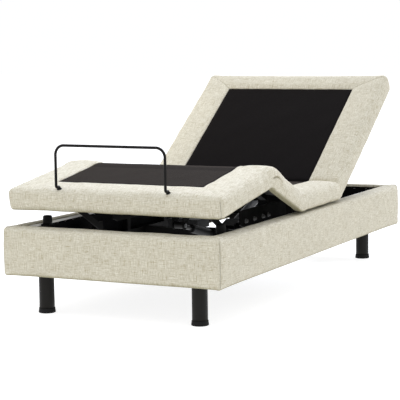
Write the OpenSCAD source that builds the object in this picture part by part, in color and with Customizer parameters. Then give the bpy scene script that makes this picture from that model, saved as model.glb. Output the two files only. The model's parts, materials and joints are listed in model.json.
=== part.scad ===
// Adjustable bed base, in millimetres: an upholstered surround on four legs with a deck in four
// sections (head, seat, thigh, foot) that two linear actuators raise.
// X runs across the bed, -Y is the foot end, +Y the head end, +Z is up.
// The origin is on the floor under the middle of the base.

/* [Base] */
// Width of the upholstered surround
bed_w = 965; // [900:1:1000]
// Length of the upholstered surround
bed_l = 2060; // [2030:1:2100]
// Height of the legs below the surround
leg_h = 157; // [130:1:200]
// Height of the upholstered surround
surround_h = 197; // [185:1:230]
// Thickness of the surround rails
rail_t = 62; // [58:1:70]
// Radius of the surround's upright corners
corner_r = 10; // [8:1:30]
// Radius of a leg
leg_r = 31; // [25:1:35]
// Distance of the legs from the middle line
leg_x = 345; // [320:1:360]
// Distance of the foot legs from the foot end
foot_leg_inset = 101; // [95:1:120]
// Distance of the head legs from the head end
head_leg_inset = 145; // [120:1:160]

/* [Deck] */
// Width of the deck sections
deck_w = 953; // [940:1:960]
// Thickness of the deck sections at their border
deck_t = 86; // [80:1:90]
// Gap between the surround and the flat deck
deck_gap = 6; // [5:1:12]
// Thickness of the padded border down the sides
skirt_t = 33; // [30:1:40]
// Length of the head section from its hinge
head_l = 810; // [790:1:830]
// Length of the seat section from hinge to hinge
seat_l = 414; // [400:1:430]
// Place of the thigh hinge along the bed
thigh_y = -190; // [-200:1:-180]
// Length of the thigh section from hinge to hinge
thigh_l = 332; // [325:1:340]
// Length of the foot section from its hinge
foot_l = 480; // [470:1:490]
// Width of the black non-slip panel
panel_w = 658; // [600:1:700]
// Border between the panel and the head end
head_margin = 120; // [100:1:150]
// Border between the panel and the foot end
foot_margin = 150; // [120:1:170]

/* [Pose] */
// Angle of the head section above level
head_rest = 34.5; // [10:0.5:45]
// Angle of the thigh section above level
thigh_rest = 22.3; // [10:0.1:30]
// Slope of the foot section down to the foot end
foot_slope = 8.6; // [5:0.1:12]

/* [Retainer bar] */
// Distance between the two legs of the mattress retainer bar
bar_w = 484; // [400:1:560]
// Height of the bar above its elbows
bar_h = 168; // [120:1:200]
// Radius of the bar's rod
bar_r = 5.5; // [4:0.5:7]

/* [Drive] */
// Distance of each actuator's base pin from the middle cross tube's centre
base_pin_y = 45; // [40:1:50]
// Height of the actuators' base pins
base_pin_z = 215; // [210:1:225]
// Drop of the lever pins below their section's hinge when flat
lever_drop = 200; // [190:1:205]
// Length of the foot support links between their pins
link_l = 330; // [320:1:340]
// Height of the guide slots of the foot support links
guide_z = 300; // [295:1:305]

/* [Hidden] */
$fn = 48;

// Colours
linen = [0.84, 0.81, 0.73];
charcoal = [0.13, 0.12, 0.12];
satin_black = [0.10, 0.10, 0.10];
steel = [0.55, 0.56, 0.58];
plywood = [0.72, 0.58, 0.40];
rubber_black = [0.06, 0.06, 0.06];
plastic_grey = [0.25, 0.26, 0.27];

// Fits and small gaps
running_fit = 0.05;
soft_gap = 0.5;
overlap = 1;

// Surround
surround_top = leg_h + surround_h;
foam_t = 34;
rail_board_t = 20;
board_lift = 2;
lining_t = 4;
cap_t = 10;
cover_t = rail_t - lining_t;
inner_x = bed_w / 2 - rail_t;
inner_y = bed_l / 2 - rail_t;
strip_w = 8;
strip_h = 8;
strip_drop = 5;
strip_end_gap = 25;

// Base frame
tube_w = 25;
tube_h = 40;
tube_wall = 2;
rail_bracket_t = 8;
tube_x1 = inner_x - rail_bracket_t;
tube_x0 = tube_x1 - tube_w;
tube_z0 = base_pin_z - tube_h / 2;
tube_z1 = tube_z0 + tube_h;
foot_leg_y = -bed_l / 2 + foot_leg_inset;
head_leg_y = bed_l / 2 - head_leg_inset;
plate_t = 6;
leg_wall = 2.5;
foot_pad_h = 20;
stud_r = 5;

// Deck layers, measured down from the top surface
top_pad = 12;
board_t = 18;
frame_h = 20;
panel_drop = 2;
panel_t = 3;
board_z = -top_pad - board_t;
frame_z = board_z - frame_h;
hollow_w = deck_w - 2 * skirt_t;
frame_x = 300;
frame_w = 30;
end_gap = 1.5;
frame_start = 16;
board_start = 27;

// Hinges
pivot_depth = 16;
knee_depth = 78;
groove_angle = 30.5;
groove = pivot_depth * tan(groove_angle);
knee_notch = (deck_t - knee_depth) * tan(groove_angle);
barrel_r = 5;
pin_r = 3;
knee_barrel_r = 7;
knee_pin_r = 4;
knuckle_w = frame_w / 3;
knuckle_gap = 0.25;
pin_head_t = 3;

// Levels and hinge lines
deck_top = surround_top + deck_gap + deck_t;
pivot_z = deck_top - pivot_depth;
head_y = thigh_y + seat_l;
knee_rest = thigh_rest + foot_slope;

// A point [s, z] turned by an angle
function turned(p, a) = [p[0] * cos(a) - p[1] * sin(a), p[0] * sin(a) + p[1] * cos(a)];

// Actuators: both pins of each one are equally far from the section's hinge, so the actuator
// always turns through half of the section's angle
lever_r = 18;
lever_t = 5;
eye_w = 40;
lever_x = eye_w / 2 + 2;
eye_r = 14;
eye_pin_r = 6;
head_arm = norm([head_y - base_pin_y, pivot_z - base_pin_z]);
head_lever_s = sqrt(head_arm * head_arm - lever_drop * lever_drop);
head_pin = [head_y, pivot_z] + turned([head_lever_s, -lever_drop], head_rest);
head_drive = head_pin - [base_pin_y, base_pin_z];
head_drive_angle = atan2(head_drive[1], head_drive[0]);
leg_arm = norm([-base_pin_y - thigh_y, pivot_z - base_pin_z]);
thigh_lever_s = sqrt(leg_arm * leg_arm - lever_drop * lever_drop);
thigh_turn = turned([thigh_lever_s, -lever_drop], thigh_rest);
thigh_pin = [thigh_y - thigh_turn[0], pivot_z + thigh_turn[1]];
leg_drive = [-base_pin_y - thigh_pin[0], thigh_pin[1] - base_pin_z];
leg_drive_angle = atan2(leg_drive[1], leg_drive[0]);
gearbox_start = 18;
gearbox_w = 66;
gearbox_h = 56;
motor_r = 26;
motor_l = 105;
outer_r = 19;
bore_r = 15;
rod_r = 10;
gland_l = 12;
head_gearbox_l = 70;
head_tube_end = 330;
head_rod_l = 240;
leg_gearbox_l = 60;
leg_tube_end = 272;
leg_rod_l = 190;

// Foot support links
link_s = 330;
link_depth = 66;
link_pin_r = 6;
link_t = 6;
link_w = 26;
knee_at = turned([thigh_l, pivot_depth - knee_depth], thigh_rest);
knee_y = thigh_y - knee_at[0];
knee_z = pivot_z + knee_at[1];
link_at = turned([link_s, knee_depth - link_depth], -foot_slope);
link_y = knee_y - link_at[0];
link_z = knee_z + link_at[1];
link_angle = asin((link_z - guide_z) / link_l);
guide_y = link_y + link_l * cos(link_angle);
guide_x = frame_x + 28;
guide_t = 5;
guide_half = 55;
guide_low = guide_z - 25;
guide_high = guide_z + 20;
slot_h = 18;
slot_l = 84;
slot_shift = 8;

// Retainer bar
bar_bend_r = 38;
elbow_r = bar_r + 0.5;
bar_inset = 6;
bar_step = 23;
bar_lift = 12;
socket_r = 9;
socket_depth = 11;
socket_rise = 6;

// Bumpers
bumper = [38, 38, 36];
bumper_y = -835;
bumper_z = surround_top - 8;
bumper_plate_t = 3;

// Shapes shared by several parts

// A box between two corners
module block(low, high) {
    translate(low) cube(high - low);
}

// A profile in the Y-Z plane, extruded from x0 to x1
module profile_x(x0, x1, points) {
    translate([x0, 0, 0]) rotate([90, 0, 90]) linear_extrude(x1 - x0) polygon(points);
}

// A cylinder along X through the point [y, z]
module rod_x(x0, x1, p, r) {
    translate([x0, p[0], p[1]]) rotate([0, 90, 0]) cylinder(h = x1 - x0, r = r);
}

// A child and its mirror image across the bed's middle line
module both_sides() {
    children();
    mirror([1, 0, 0]) children();
}

// A rectangular steel tube between two corners, open at both ends of the axis
module steel_tube(low, high, axis) {
    inset = [for (i = [0:2]) i == axis ? -overlap : tube_wall];
    difference() {
        block(low, high);
        block(low + inset, high - inset);
    }
}

// A rounded rectangle with its lower edge on y = 0, rounded only at its far end
module far_rounded(w, l, r) {
    union() {
        translate([-w / 2, 0]) square([w, l - r]);
        translate([-w / 2 + r, 0]) square([w - 2 * r, l]);
        for (side = [-1, 1]) translate([side * (w / 2 - r), l - r]) circle(r);
    }
}

// Places a section's children, drawn flat with their hinge end at y = 0 and their top at z = 0
module on_head() {
    translate([0, head_y, pivot_z]) rotate([head_rest, 0, 0]) translate([0, 0, pivot_depth]) children();
}
module on_thigh() {
    translate([0, thigh_y, pivot_z]) rotate([-thigh_rest, 0, 0]) translate([0, 0, pivot_depth])
        mirror([0, 1, 0]) children();
}
module on_foot() {
    translate([0, knee_y, knee_z]) rotate([foot_slope, 0, 0]) translate([0, 0, knee_depth])
        mirror([0, 1, 0]) children();
}
module on_seat() {
    translate([0, thigh_y, deck_top]) children();
}

// Surround

module plan(inset, r) {
    w = bed_w - 2 * inset;
    l = bed_l - 2 * inset;
    union() {
        square([w - 2 * r, l], center = true);
        square([w, l - 2 * r], center = true);
        for (x = [-1, 1], y = [-1, 1]) translate([x * (w / 2 - r), y * (l / 2 - r)]) circle(r);
    }
}

// A ring of the surround between two distances from its outside
module ring(from, to) {
    difference() {
        plan(from, max(corner_r - from, 2));
        square([bed_w - 2 * to, bed_l - 2 * to], center = true);
    }
}

// The mitred outline of an end rail (side = 0) or a side rail (side = 1) in the -Y or +X direction
module mitre(side) {
    w = bed_w / 2;
    l = bed_l / 2;
    d = rail_t + 20;
    e = 5;
    if (side == 0) {
        polygon([[-w - e, -l - e], [w + e, -l - e], [w - d, -l + d], [-w + d, -l + d]]);
    } else {
        polygon([[w + e, -l - e], [w + e, l + e], [w - d, l - d], [w - d, -l + d]]);
    }
}

module rail_cover(side) {
    color(linen) translate([0, 0, leg_h]) difference() {
        linear_extrude(surround_h) intersection() {
            ring(0, cover_t);
            mitre(side);
        }
        translate([0, 0, -overlap]) linear_extrude(surround_h - cap_t + overlap)
            ring(foam_t, foam_t + rail_board_t);
    }
}
module right_rail_cover() {
    rail_cover(1);
}
module left_rail_cover() {
    mirror([1, 0, 0]) rail_cover(1);
}
module foot_rail_cover() {
    rail_cover(0);
}
module head_rail_cover() {
    mirror([0, 1, 0]) rail_cover(0);
}

// Four boards on edge inside the covers: the side boards run through and the end boards butt on them
module rail_boards() {
    x1 = bed_w / 2 - foam_t - soft_gap;
    x0 = bed_w / 2 - foam_t - rail_board_t + soft_gap;
    y1 = bed_l / 2 - foam_t - soft_gap;
    y0 = bed_l / 2 - foam_t - rail_board_t + soft_gap;
    low = leg_h + board_lift;
    high = surround_top - cap_t - soft_gap;
    color(plywood) {
        both_sides() block([x0, -y1 + soft_gap, low], [x1, y1 - soft_gap, high]);
        for (side = [0, 1]) mirror([0, side, 0])
            block([-x0 + soft_gap, -y1, low], [x0 - soft_gap, -y0, high]);
    }
}

module inner_lining() {
    color(charcoal) translate([0, 0, leg_h + board_lift]) linear_extrude(surround_h - cap_t - board_lift)
        ring(cover_t, rail_t);
}

module ledger_strips() {
    top = surround_top - strip_drop;
    y1 = inner_y - strip_end_gap;
    color(linen) both_sides() block([inner_x - strip_w, -y1, top - strip_h], [inner_x, y1, top]);
}

// Base frame

module side_tube() {
    color(satin_black) steel_tube([tube_x0, foot_leg_y - tube_h / 2, tube_z0],
        [tube_x1, head_leg_y + tube_h / 2, tube_z1], 1);
}
module right_side_tube() {
    side_tube();
}
module left_side_tube() {
    mirror([1, 0, 0]) side_tube();
}

module cross_tube(y) {
    color(satin_black) steel_tube([-tube_x0, y - tube_h / 2, tube_z0], [tube_x0, y + tube_h / 2, tube_z1], 0);
}
module foot_cross_tube() {
    cross_tube(foot_leg_y);
}
module head_cross_tube() {
    cross_tube(head_leg_y);
}

// The middle cross tube with the clevis plates of both actuators
module middle_cross_tube() {
    cross_tube(0);
    color(satin_black) both_sides() for (end = [-1, 1]) difference() {
        union() {
            block([lever_x, end > 0 ? tube_h / 2 : -base_pin_y, base_pin_z - eye_r],
                [lever_x + lever_t, end > 0 ? base_pin_y : -tube_h / 2, base_pin_z + eye_r]);
            rod_x(lever_x, lever_x + lever_t, [end * base_pin_y, base_pin_z], eye_r);
        }
        rod_x(0, eye_w, [end * base_pin_y, base_pin_z], eye_pin_r + running_fit);
    }
}

// Spacer blocks that join the side tubes to the surround
rail_bracket_y = [-700, -250, 250, 700];
module rail_brackets() {
    half = 30;
    color(satin_black) both_sides() for (y = rail_bracket_y)
        block([tube_x1, y - half, tube_z0], [inner_x, y + half, tube_z1]);
}

// Places its child over each leg
module at_legs() {
    for (x = [-leg_x, leg_x], y = [foot_leg_y, head_leg_y]) translate([x, y, 0]) children();
}

module leg_plates() {
    half = 38;
    color(satin_black) at_legs() difference() {
        block([-half, -half, tube_z0 - plate_t], [half, half, tube_z0]);
        cylinder(h = tube_z1, r = stud_r + running_fit);
    }
}

module leg_tube() {
    top = tube_z0 - plate_t;
    color(satin_black) difference() {
        translate([0, 0, foot_pad_h]) cylinder(h = top - foot_pad_h, r = leg_r);
        translate([0, 0, foot_pad_h - overlap])
            cylinder(h = top - foot_pad_h - plate_t + overlap, r = leg_r - leg_wall);
        cylinder(h = tube_z1, r = stud_r + running_fit);
    }
}
module foot_left_leg() {
    translate([-leg_x, foot_leg_y, 0]) leg_tube();
}
module foot_right_leg() {
    translate([leg_x, foot_leg_y, 0]) leg_tube();
}
module head_left_leg() {
    translate([-leg_x, head_leg_y, 0]) leg_tube();
}
module head_right_leg() {
    translate([leg_x, head_leg_y, 0]) leg_tube();
}

module leg_studs() {
    top = tube_z0 - plate_t;
    head_t = 6;
    color(steel) at_legs() union() {
        translate([0, 0, top - 2 * plate_t]) cylinder(h = 3 * plate_t, r = stud_r);
        translate([0, 0, top - plate_t - head_t]) cylinder(h = head_t, r = 2 * stud_r, $fn = 6);
    }
}

// Flared rubber feet with a plug inside each leg tube
module leg_feet() {
    flare = 3.5;
    plug_h = 18;
    color(rubber_black) at_legs() union() {
        cylinder(h = foot_pad_h, r1 = leg_r + flare, r2 = leg_r + flare / 2);
        cylinder(h = foot_pad_h + plug_h, r = leg_r - leg_wall - soft_gap / 2);
    }
}

// Places of the seat frame's cross tubes along the section, which the posts stand under
seat_cross_y = [30, seat_l - 30];
// Posts under the seat section, and a plate on edge along each side of it that reaches under the thighs
side_plate_t = 6;
side_plate_h = 84;
side_plate_drop = 11;
side_plate_cut = [40, 14];
side_plate_y = [-460, thigh_y + frame_start, head_y - frame_start - 10];
module seat_posts() {
    high = deck_top + frame_z;
    low = high - side_plate_h;
    step = high - side_plate_drop;
    color(satin_black) both_sides() union() {
        for (s = seat_cross_y) steel_tube([tube_x0, thigh_y + s - frame_w / 2, tube_z1],
            [tube_x1, thigh_y + s + frame_w / 2, high], 2);
        profile_x(frame_x - side_plate_t / 2, frame_x + side_plate_t / 2,
            [[side_plate_y[0], low + side_plate_cut[1]], [side_plate_y[0] + side_plate_cut[0], low],
                [side_plate_y[2], low], [side_plate_y[2], high],
                [side_plate_y[1], high], [side_plate_y[1], step], [side_plate_y[0], step]]);
    }
}

bumper_x = inner_x - strip_w - bumper[0] - 1;
bumper_bracket_h = 25;
module bumper_brackets() {
    y0 = bumper_y - bumper[1] / 2;
    x1 = inner_x - strip_w;
    color(satin_black) both_sides() union() {
        block([bumper_x, y0, bumper_z - bumper_plate_t], [x1, y0 + bumper[1], bumper_z]);
        block([x1 - bumper_plate_t, y0, bumper_z - bumper_bracket_h], [x1, y0 + bumper[1], bumper_z]);
    }
}
module rubber_bumpers() {
    color(rubber_black) both_sides()
        translate([bumper_x + bumper[0] / 2, bumper_y, bumper_z])
            cylinder(h = bumper[2], r = bumper[0] / 2);
}

// Slotted brackets that guide the lower pins of the foot support links
module link_guides() {
    mid = guide_y + slot_shift;
    y0 = mid - guide_half;
    y1 = mid + guide_half;
    x0 = guide_x - overlap;
    x1 = guide_x + guide_t + overlap;
    run = (slot_l - slot_h) / 2;
    color(satin_black) both_sides() difference() {
        union() {
            block([guide_x, y0, guide_low], [guide_x + guide_t, y1, guide_high]);
            block([guide_x, y0, guide_low], [tube_x1, y1, guide_low + guide_t]);
            block([tube_x0, y0, tube_z1], [tube_x1, y1, guide_low]);
        }
        for (y = [mid - run, mid + run]) rod_x(x0, x1, [y, guide_z], slot_h / 2);
        block([x0, mid - run, guide_z - slot_h / 2], [x1, mid + run, guide_z + slot_h / 2]);
    }
}

// The control box lies on the middle cross tube, beside the actuators
control_box_size = [150, 120, 42];
control_box_at = [-260, -tube_h / 2 - 5, tube_z1];
module control_box() {
    color(plastic_grey) translate(control_box_at) cube(control_box_size);
}

// The power supply hangs beside the head cross tube
supply_size = [160, 90, 45];
supply_at = [120, head_leg_y - tube_h / 2 - supply_size[1], tube_z0];
inlet_size = [28, 18, 20];
inlet_at = supply_at + [66, 0, 12];
module power_supply() {
    color(plastic_grey) difference() {
        translate(supply_at) cube(supply_size);
        translate(inlet_at - [0, overlap, 0]) cube(inlet_size + [0, overlap, 0]);
    }
}

// The mains inlet in the side of the power supply, with three contact pins
module power_inlet() {
    shell = 2.5;
    low = inlet_at + [soft_gap, 0, soft_gap];
    high = inlet_at + inlet_size - [soft_gap, soft_gap, soft_gap];
    mid = inlet_at + inlet_size / 2;
    pin = [2, 10, 4];
    pitch = 7;
    color(satin_black) difference() {
        block(low, high);
        block(low + [shell, -overlap, shell], high - [shell, shell, shell]);
    }
    pin_at = [mid[0] - pin[0] / 2, high[1] - shell - pin[1] + overlap, mid[2] - pin[2] / 2];
    color(steel) for (x = [-pitch, 0, pitch]) translate(pin_at + [x, 0, 0]) cube(pin);
}

// Deck sections

// The padded cover of a section: its side profile across the bed, hollow underneath between s0
// and s1, with a shallow recess for the panel between p0 and p1
module deck_cover(profile, s0, s1, p0, p1) {
    recess = panel_drop + panel_t;
    color(linen) difference() {
        profile_x(-deck_w / 2, deck_w / 2, profile);
        block([-hollow_w / 2, s0, -deck_t - overlap], [hollow_w / 2, s1, -top_pad]);
        block([-panel_w / 2 - soft_gap, p0, -recess], [panel_w / 2 + soft_gap, p1, overlap]);
    }
}

// A deck cover whose far corners are rounded in plan
module end_cover(profile, l, p0, p1) {
    intersection() {
        deck_cover(profile, -overlap, l - skirt_t, p0, p1);
        translate([0, 0, -deck_t - overlap]) linear_extrude(deck_t + 2 * overlap)
            translate([0, -2 * overlap]) far_rounded(deck_w, l + 2 * overlap, corner_r);
    }
}

module panel(s0, s1) {
    color(charcoal) block([-panel_w / 2, s0, -panel_drop - panel_t], [panel_w / 2, s1, -panel_drop]);
}

module board(s0, s1) {
    half = hollow_w / 2 - soft_gap;
    color(satin_black) block([-half, s0, board_z], [half, s1, -top_pad - soft_gap]);
}

// Two frame rails with cross tubes between them at the distances in crosses
module ladder(s0, s1, crosses) {
    x0 = frame_x - frame_w / 2;
    union() {
        both_sides() steel_tube([x0, s0, frame_z], [x0 + frame_w, s1, board_z - soft_gap], 1);
        for (s = crosses) steel_tube([-x0 - tube_wall, s - frame_w / 2, frame_z],
            [x0 + tube_wall, s + frame_w / 2, board_z - soft_gap], 0);
    }
}

// Knuckles of a hinge at the top of the deck, in the slots of its three-part barrel
module top_knuckles(slots) {
    x0 = frame_x - frame_w / 2;
    both_sides() for (i = slots) {
        a = x0 + i * knuckle_w + knuckle_gap;
        b = x0 + (i + 1) * knuckle_w - knuckle_gap;
        difference() {
            union() {
                rod_x(a, b, [0, -pivot_depth], barrel_r);
                block([a, 0, -pivot_depth - barrel_r], [b, board_start - overlap, -pivot_depth]);
                block([a, frame_start, board_z - tube_wall], [b, board_start - overlap, -pivot_depth]);
            }
            rod_x(a - overlap, b + overlap, [0, -pivot_depth], pin_r + running_fit);
        }
    }
}

// Drop arms of the knee hinge below a frame that starts at y = 0
module knee_arms(slots) {
    x0 = frame_x - frame_w / 2;
    both_sides() for (i = slots) {
        a = x0 + i * knuckle_w + knuckle_gap;
        b = x0 + (i + 1) * knuckle_w - knuckle_gap;
        difference() {
            union() {
                rod_x(a, b, [0, -knee_depth], knee_barrel_r);
                profile_x(a, b, [[-4, -knee_depth + 5], [frame_start, frame_z + tube_wall],
                    [3 * frame_start, frame_z + tube_wall], [4, -knee_depth - 5]]);
            }
            rod_x(a - overlap, b + overlap, [0, -knee_depth], knee_pin_r + running_fit);
        }
    }
}

// Pins through both hinges at the point [y, z], with a head at each end
module hinge_pins(p, r) {
    x0 = frame_x - frame_w / 2;
    head_gap = 0.2;
    color(steel) both_sides() union() {
        rod_x(x0 - pin_head_t, x0 + frame_w + pin_head_t, p, r);
        for (x = [x0 - pin_head_t, x0 + frame_w + head_gap])
            rod_x(x, x + pin_head_t - head_gap, p, 1.4 * r);
    }
}

// A pair of lever plates below a frame, from s0 and s1 down to the pin at [s, z]
module lever_plates(s0, s1, s) {
    z = -pivot_depth - lever_drop;
    half = lever_r - 0.5;
    both_sides() difference() {
        union() {
            profile_x(lever_x, lever_x + lever_t, [[s0, frame_z + tube_wall], [s1, frame_z + tube_wall],
                [s + half, z + 2], [s - half, z + 2]]);
            rod_x(lever_x, lever_x + lever_t, [s, z], lever_r);
        }
        rod_x(lever_x - overlap, lever_x + lever_t + overlap, [s, z], eye_pin_r + running_fit);
    }
}

// A headed clevis pin along X at the point [y, z]
module clevis_pin(p) {
    end = lever_x + lever_t;
    head_gap = 0.2;
    head_t = 4;
    color(steel) union() {
        rod_x(-end - overlap, end + overlap, p, eye_pin_r);
        both_sides() rod_x(end + head_gap, end + head_t, p, 1.5 * eye_pin_r);
    }
}

// Seat section

module seat_cover() {
    profile = [[end_gap, -deck_t], [end_gap, -pivot_depth], [end_gap + groove, 0],
        [seat_l - end_gap - groove, 0], [seat_l - end_gap, -pivot_depth], [seat_l - end_gap, -deck_t]];
    on_seat() deck_cover(profile, -overlap, seat_l + overlap, -overlap, seat_l + overlap);
}
module seat_panel() {
    on_seat() panel(end_gap + groove, seat_l - end_gap - groove);
}
module seat_board() {
    on_seat() board(board_start, seat_l - board_start);
}
module seat_frame() {
    color(satin_black) on_seat() union() {
        ladder(frame_start, seat_l - frame_start, []);
        for (s = seat_cross_y) steel_tube([-tube_x1, s - frame_w / 2, frame_z],
            [tube_x1, s + frame_w / 2, board_z - soft_gap], 0);
        top_knuckles([0, 2]);
        translate([0, seat_l, 0]) mirror([0, 1, 0]) top_knuckles([0, 2]);
    }
}
module actuator_base_pins() {
    clevis_pin([base_pin_y, base_pin_z]);
    clevis_pin([-base_pin_y, base_pin_z]);
}
module head_hinge_pins() {
    hinge_pins([head_y, pivot_z], pin_r);
}
module thigh_hinge_pins() {
    hinge_pins([thigh_y, pivot_z], pin_r);
}

// Head section

// Places of the head frame's cross tubes along the section
head_crosses = [150, head_lever_s + 60, 520, head_l - 90];
module head_cover() {
    profile = [[end_gap, -deck_t], [end_gap, -pivot_depth], [end_gap + groove, 0],
        [head_l, 0], [head_l, -deck_t]];
    on_head() end_cover(profile, head_l, -overlap, head_l - head_margin + soft_gap);
}
module head_panel() {
    on_head() panel(end_gap + groove, head_l - head_margin);
}
module head_board() {
    on_head() board(board_start, head_l - skirt_t - soft_gap);
}
module head_frame() {
    color(satin_black) on_head() union() {
        ladder(frame_start, head_l - skirt_t - 2 * frame_w, head_crosses);
        top_knuckles([1]);
        lever_plates(head_crosses[0] - 10, head_crosses[1] + 10, head_lever_s);
    }
}
module head_lever_pin() {
    clevis_pin(head_pin);
}

// Thigh section

// Places of the thigh frame's cross tubes along the section
thigh_crosses = [110, thigh_lever_s + 60];
module thigh_cover() {
    profile = [[end_gap, -deck_t], [end_gap, -pivot_depth], [end_gap + groove, 0], [thigh_l - end_gap, 0],
        [thigh_l - end_gap, -knee_depth], [thigh_l - end_gap - knee_notch, -deck_t]];
    on_thigh() deck_cover(profile, -overlap, thigh_l + overlap, -overlap, thigh_l + overlap);
}
module thigh_panel() {
    on_thigh() panel(end_gap + groove, thigh_l - end_gap);
}
module thigh_board() {
    on_thigh() board(board_start, thigh_l - 2 * end_gap);
}
module thigh_frame() {
    color(satin_black) on_thigh() union() {
        ladder(frame_start, thigh_l - frame_start, thigh_crosses);
        top_knuckles([1]);
        translate([0, thigh_l, 0]) mirror([0, 1, 0]) knee_arms([0, 2]);
        lever_plates(thigh_crosses[0] - 10, thigh_crosses[1] + 10, thigh_lever_s);
    }
}
module thigh_lever_pin() {
    clevis_pin(thigh_pin);
}
module knee_hinge_pins() {
    hinge_pins([knee_y, knee_z], knee_pin_r);
}

// Foot section

// Places of the foot frame's cross tubes along the section
foot_crosses = [60, link_s + 50];
module foot_cover() {
    profile = [[end_gap + knee_notch, -deck_t], [end_gap, -knee_depth], [end_gap, 0],
        [foot_l, 0], [foot_l, -deck_t]];
    difference() {
        on_foot() end_cover(profile, foot_l, -overlap, foot_l - foot_margin + soft_gap);
        on_foot() at_sockets() translate([0, 0, -socket_depth - 1.5]) cylinder(h = 40, r = socket_r + 0.3);
    }
}
module foot_panel() {
    on_foot() panel(end_gap, foot_l - foot_margin);
}
module foot_board() {
    on_foot() board(2 * end_gap, foot_l - skirt_t - soft_gap);
}
module foot_frame() {
    ear_t = 6;
    ear_gap = link_t / 2 + 1;
    color(satin_black) on_foot() union() {
        ladder(frame_start, foot_l - skirt_t - frame_w, foot_crosses);
        knee_arms([1]);
        both_sides() for (x = [frame_x - ear_gap - ear_t, frame_x + ear_gap]) difference() {
            union() {
                block([x, link_s - link_w / 2, -link_depth],
                    [x + ear_t, link_s + link_w / 2, frame_z + tube_wall]);
                rod_x(x, x + ear_t, [link_s, -link_depth], link_w / 2);
            }
            rod_x(x - overlap, x + ear_t + overlap, [link_s, -link_depth], link_pin_r + running_fit);
        }
    }
}

// Places its child over each socket of the retainer bar
module at_sockets() {
    for (x = [-bar_w / 2, bar_w / 2]) translate([x, foot_l - bar_inset - bar_step, 0]) children();
}

module bar_sockets() {
    color(rubber_black) on_foot() at_sockets() difference() {
        translate([0, 0, -socket_depth - 1]) cylinder(h = socket_depth + 1 + socket_rise, r = socket_r);
        translate([0, 0, -socket_depth]) cylinder(h = 40, r = bar_r + running_fit);
    }
}

// The bent rod: a tall arch with two elbows at each foot that lead down into the sockets
module retainer_bar() {
    leg_top = bar_h - bar_bend_r;
    half = bar_w / 2;
    color(satin_black) on_foot() union() {
        translate([0, foot_l - bar_inset, bar_lift]) rotate([foot_slope, 0, 0]) union() {
            rod_x(-half + bar_bend_r, half - bar_bend_r, [0, bar_h], bar_r);
            both_sides() union() {
                translate([half, 0, 0]) cylinder(h = leg_top, r = bar_r);
                translate([half - bar_bend_r, 0, leg_top]) rotate([90, 0, 0])
                    rotate_extrude(angle = 90) translate([bar_bend_r, 0]) circle(bar_r);
            }
        }
        both_sides() translate([half, foot_l - bar_inset, bar_lift]) union() {
            sphere(elbow_r);
            rotate([90, 0, 0]) cylinder(h = bar_step, r = bar_r);
            translate([0, -bar_step, 0]) sphere(elbow_r);
            translate([0, -bar_step, -bar_lift - socket_depth + soft_gap])
                cylinder(h = bar_lift + socket_depth - soft_gap, r = bar_r);
        }
    }
}

// Support links between the foot section and the guides, each with a pin at both ends
module foot_links() {
    outer = guide_x + guide_t + 6;
    ear_end = frame_x + link_t / 2 + 8;
    color(satin_black) both_sides() translate([0, link_y, link_z]) rotate([-link_angle, 0, 0]) union() {
        block([frame_x - link_t / 2, 0, -link_w / 2], [frame_x + link_t / 2, link_l, link_w / 2]);
        rod_x(frame_x - link_t / 2, frame_x + link_t / 2, [0, 0], link_w / 2);
        rod_x(frame_x - link_t / 2, frame_x + link_t / 2, [link_l, 0], link_w / 2);
        rod_x(2 * frame_x - ear_end, ear_end, [0, 0], link_pin_r);
        rod_x(frame_x, outer, [link_l, 0], link_pin_r);
        rod_x(outer - 4, outer, [link_l, 0], 1.4 * link_pin_r);
    }
}

// Actuators, drawn along +Y from their base pin, or from their front pin for the rod

module on_head_drive() {
    translate([0, base_pin_y, base_pin_z]) rotate([head_drive_angle, 0, 0]) children();
}
module on_head_rod() {
    translate([0, head_pin[0], head_pin[1]]) rotate([head_drive_angle, 0, 0]) children();
}
module on_leg_drive() {
    translate([0, -base_pin_y, base_pin_z]) rotate([-leg_drive_angle, 0, 0]) mirror([0, 1, 0]) children();
}
module on_leg_rod() {
    translate([0, thigh_pin[0], thigh_pin[1]]) rotate([-leg_drive_angle, 0, 0]) mirror([0, 1, 0]) children();
}

// A cross eye with a running bore
module eye() {
    difference() {
        rod_x(-eye_w / 2, eye_w / 2, [0, 0], eye_r);
        rod_x(-eye_w, eye_w, [0, 0], eye_pin_r + running_fit);
    }
}

module gearbox(l) {
    end = gearbox_start + l;
    r = gearbox_h / 2;
    color(plastic_grey) union() {
        eye();
        block([-eye_w / 2, eye_pin_r + 4, -8], [eye_w / 2, gearbox_start + 2, 8]);
        block([-gearbox_w / 2, gearbox_start, -r], [gearbox_w / 2, end, r]);
        translate([0, end, 0]) rotate([-90, 0, 0]) cylinder(h = 8, r = r - 2);
    }
}

// The motor stands out of the gearbox's side
module motor(l) {
    mid = gearbox_start + l / 2;
    x0 = gearbox_w / 2;
    color(satin_black) union() {
        rod_x(x0, x0 + motor_l, [mid, 0], motor_r);
        rod_x(x0 + motor_l, x0 + motor_l + 6, [mid, 0], motor_r / 3);
        rod_x(x0, x0 + 6, [mid, 0], motor_r + 1.5);
    }
}

// The outer tube, with a gland at its open end
module outer_tube(l, end) {
    start = gearbox_start + l + 8;
    color(steel) difference() {
        translate([0, start, 0]) rotate([-90, 0, 0]) cylinder(h = end - start, r = outer_r);
        translate([0, start - overlap, 0]) rotate([-90, 0, 0])
            cylinder(h = end - start - gland_l + overlap, r = bore_r);
        translate([0, start, 0]) rotate([-90, 0, 0]) cylinder(h = end, r = rod_r + soft_gap);
    }
}

// The sliding rod, with its eye at the origin and its nut at the inner end
module drive_rod(l) {
    nut_l = 24;
    color(steel) union() {
        eye();
        translate([0, -l, 0]) rotate([-90, 0, 0]) cylinder(h = l - eye_pin_r - 2, r = rod_r);
        translate([0, -l - nut_l, 0]) rotate([-90, 0, 0])
            cylinder(h = nut_l + overlap, r = bore_r - soft_gap);
    }
}

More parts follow.
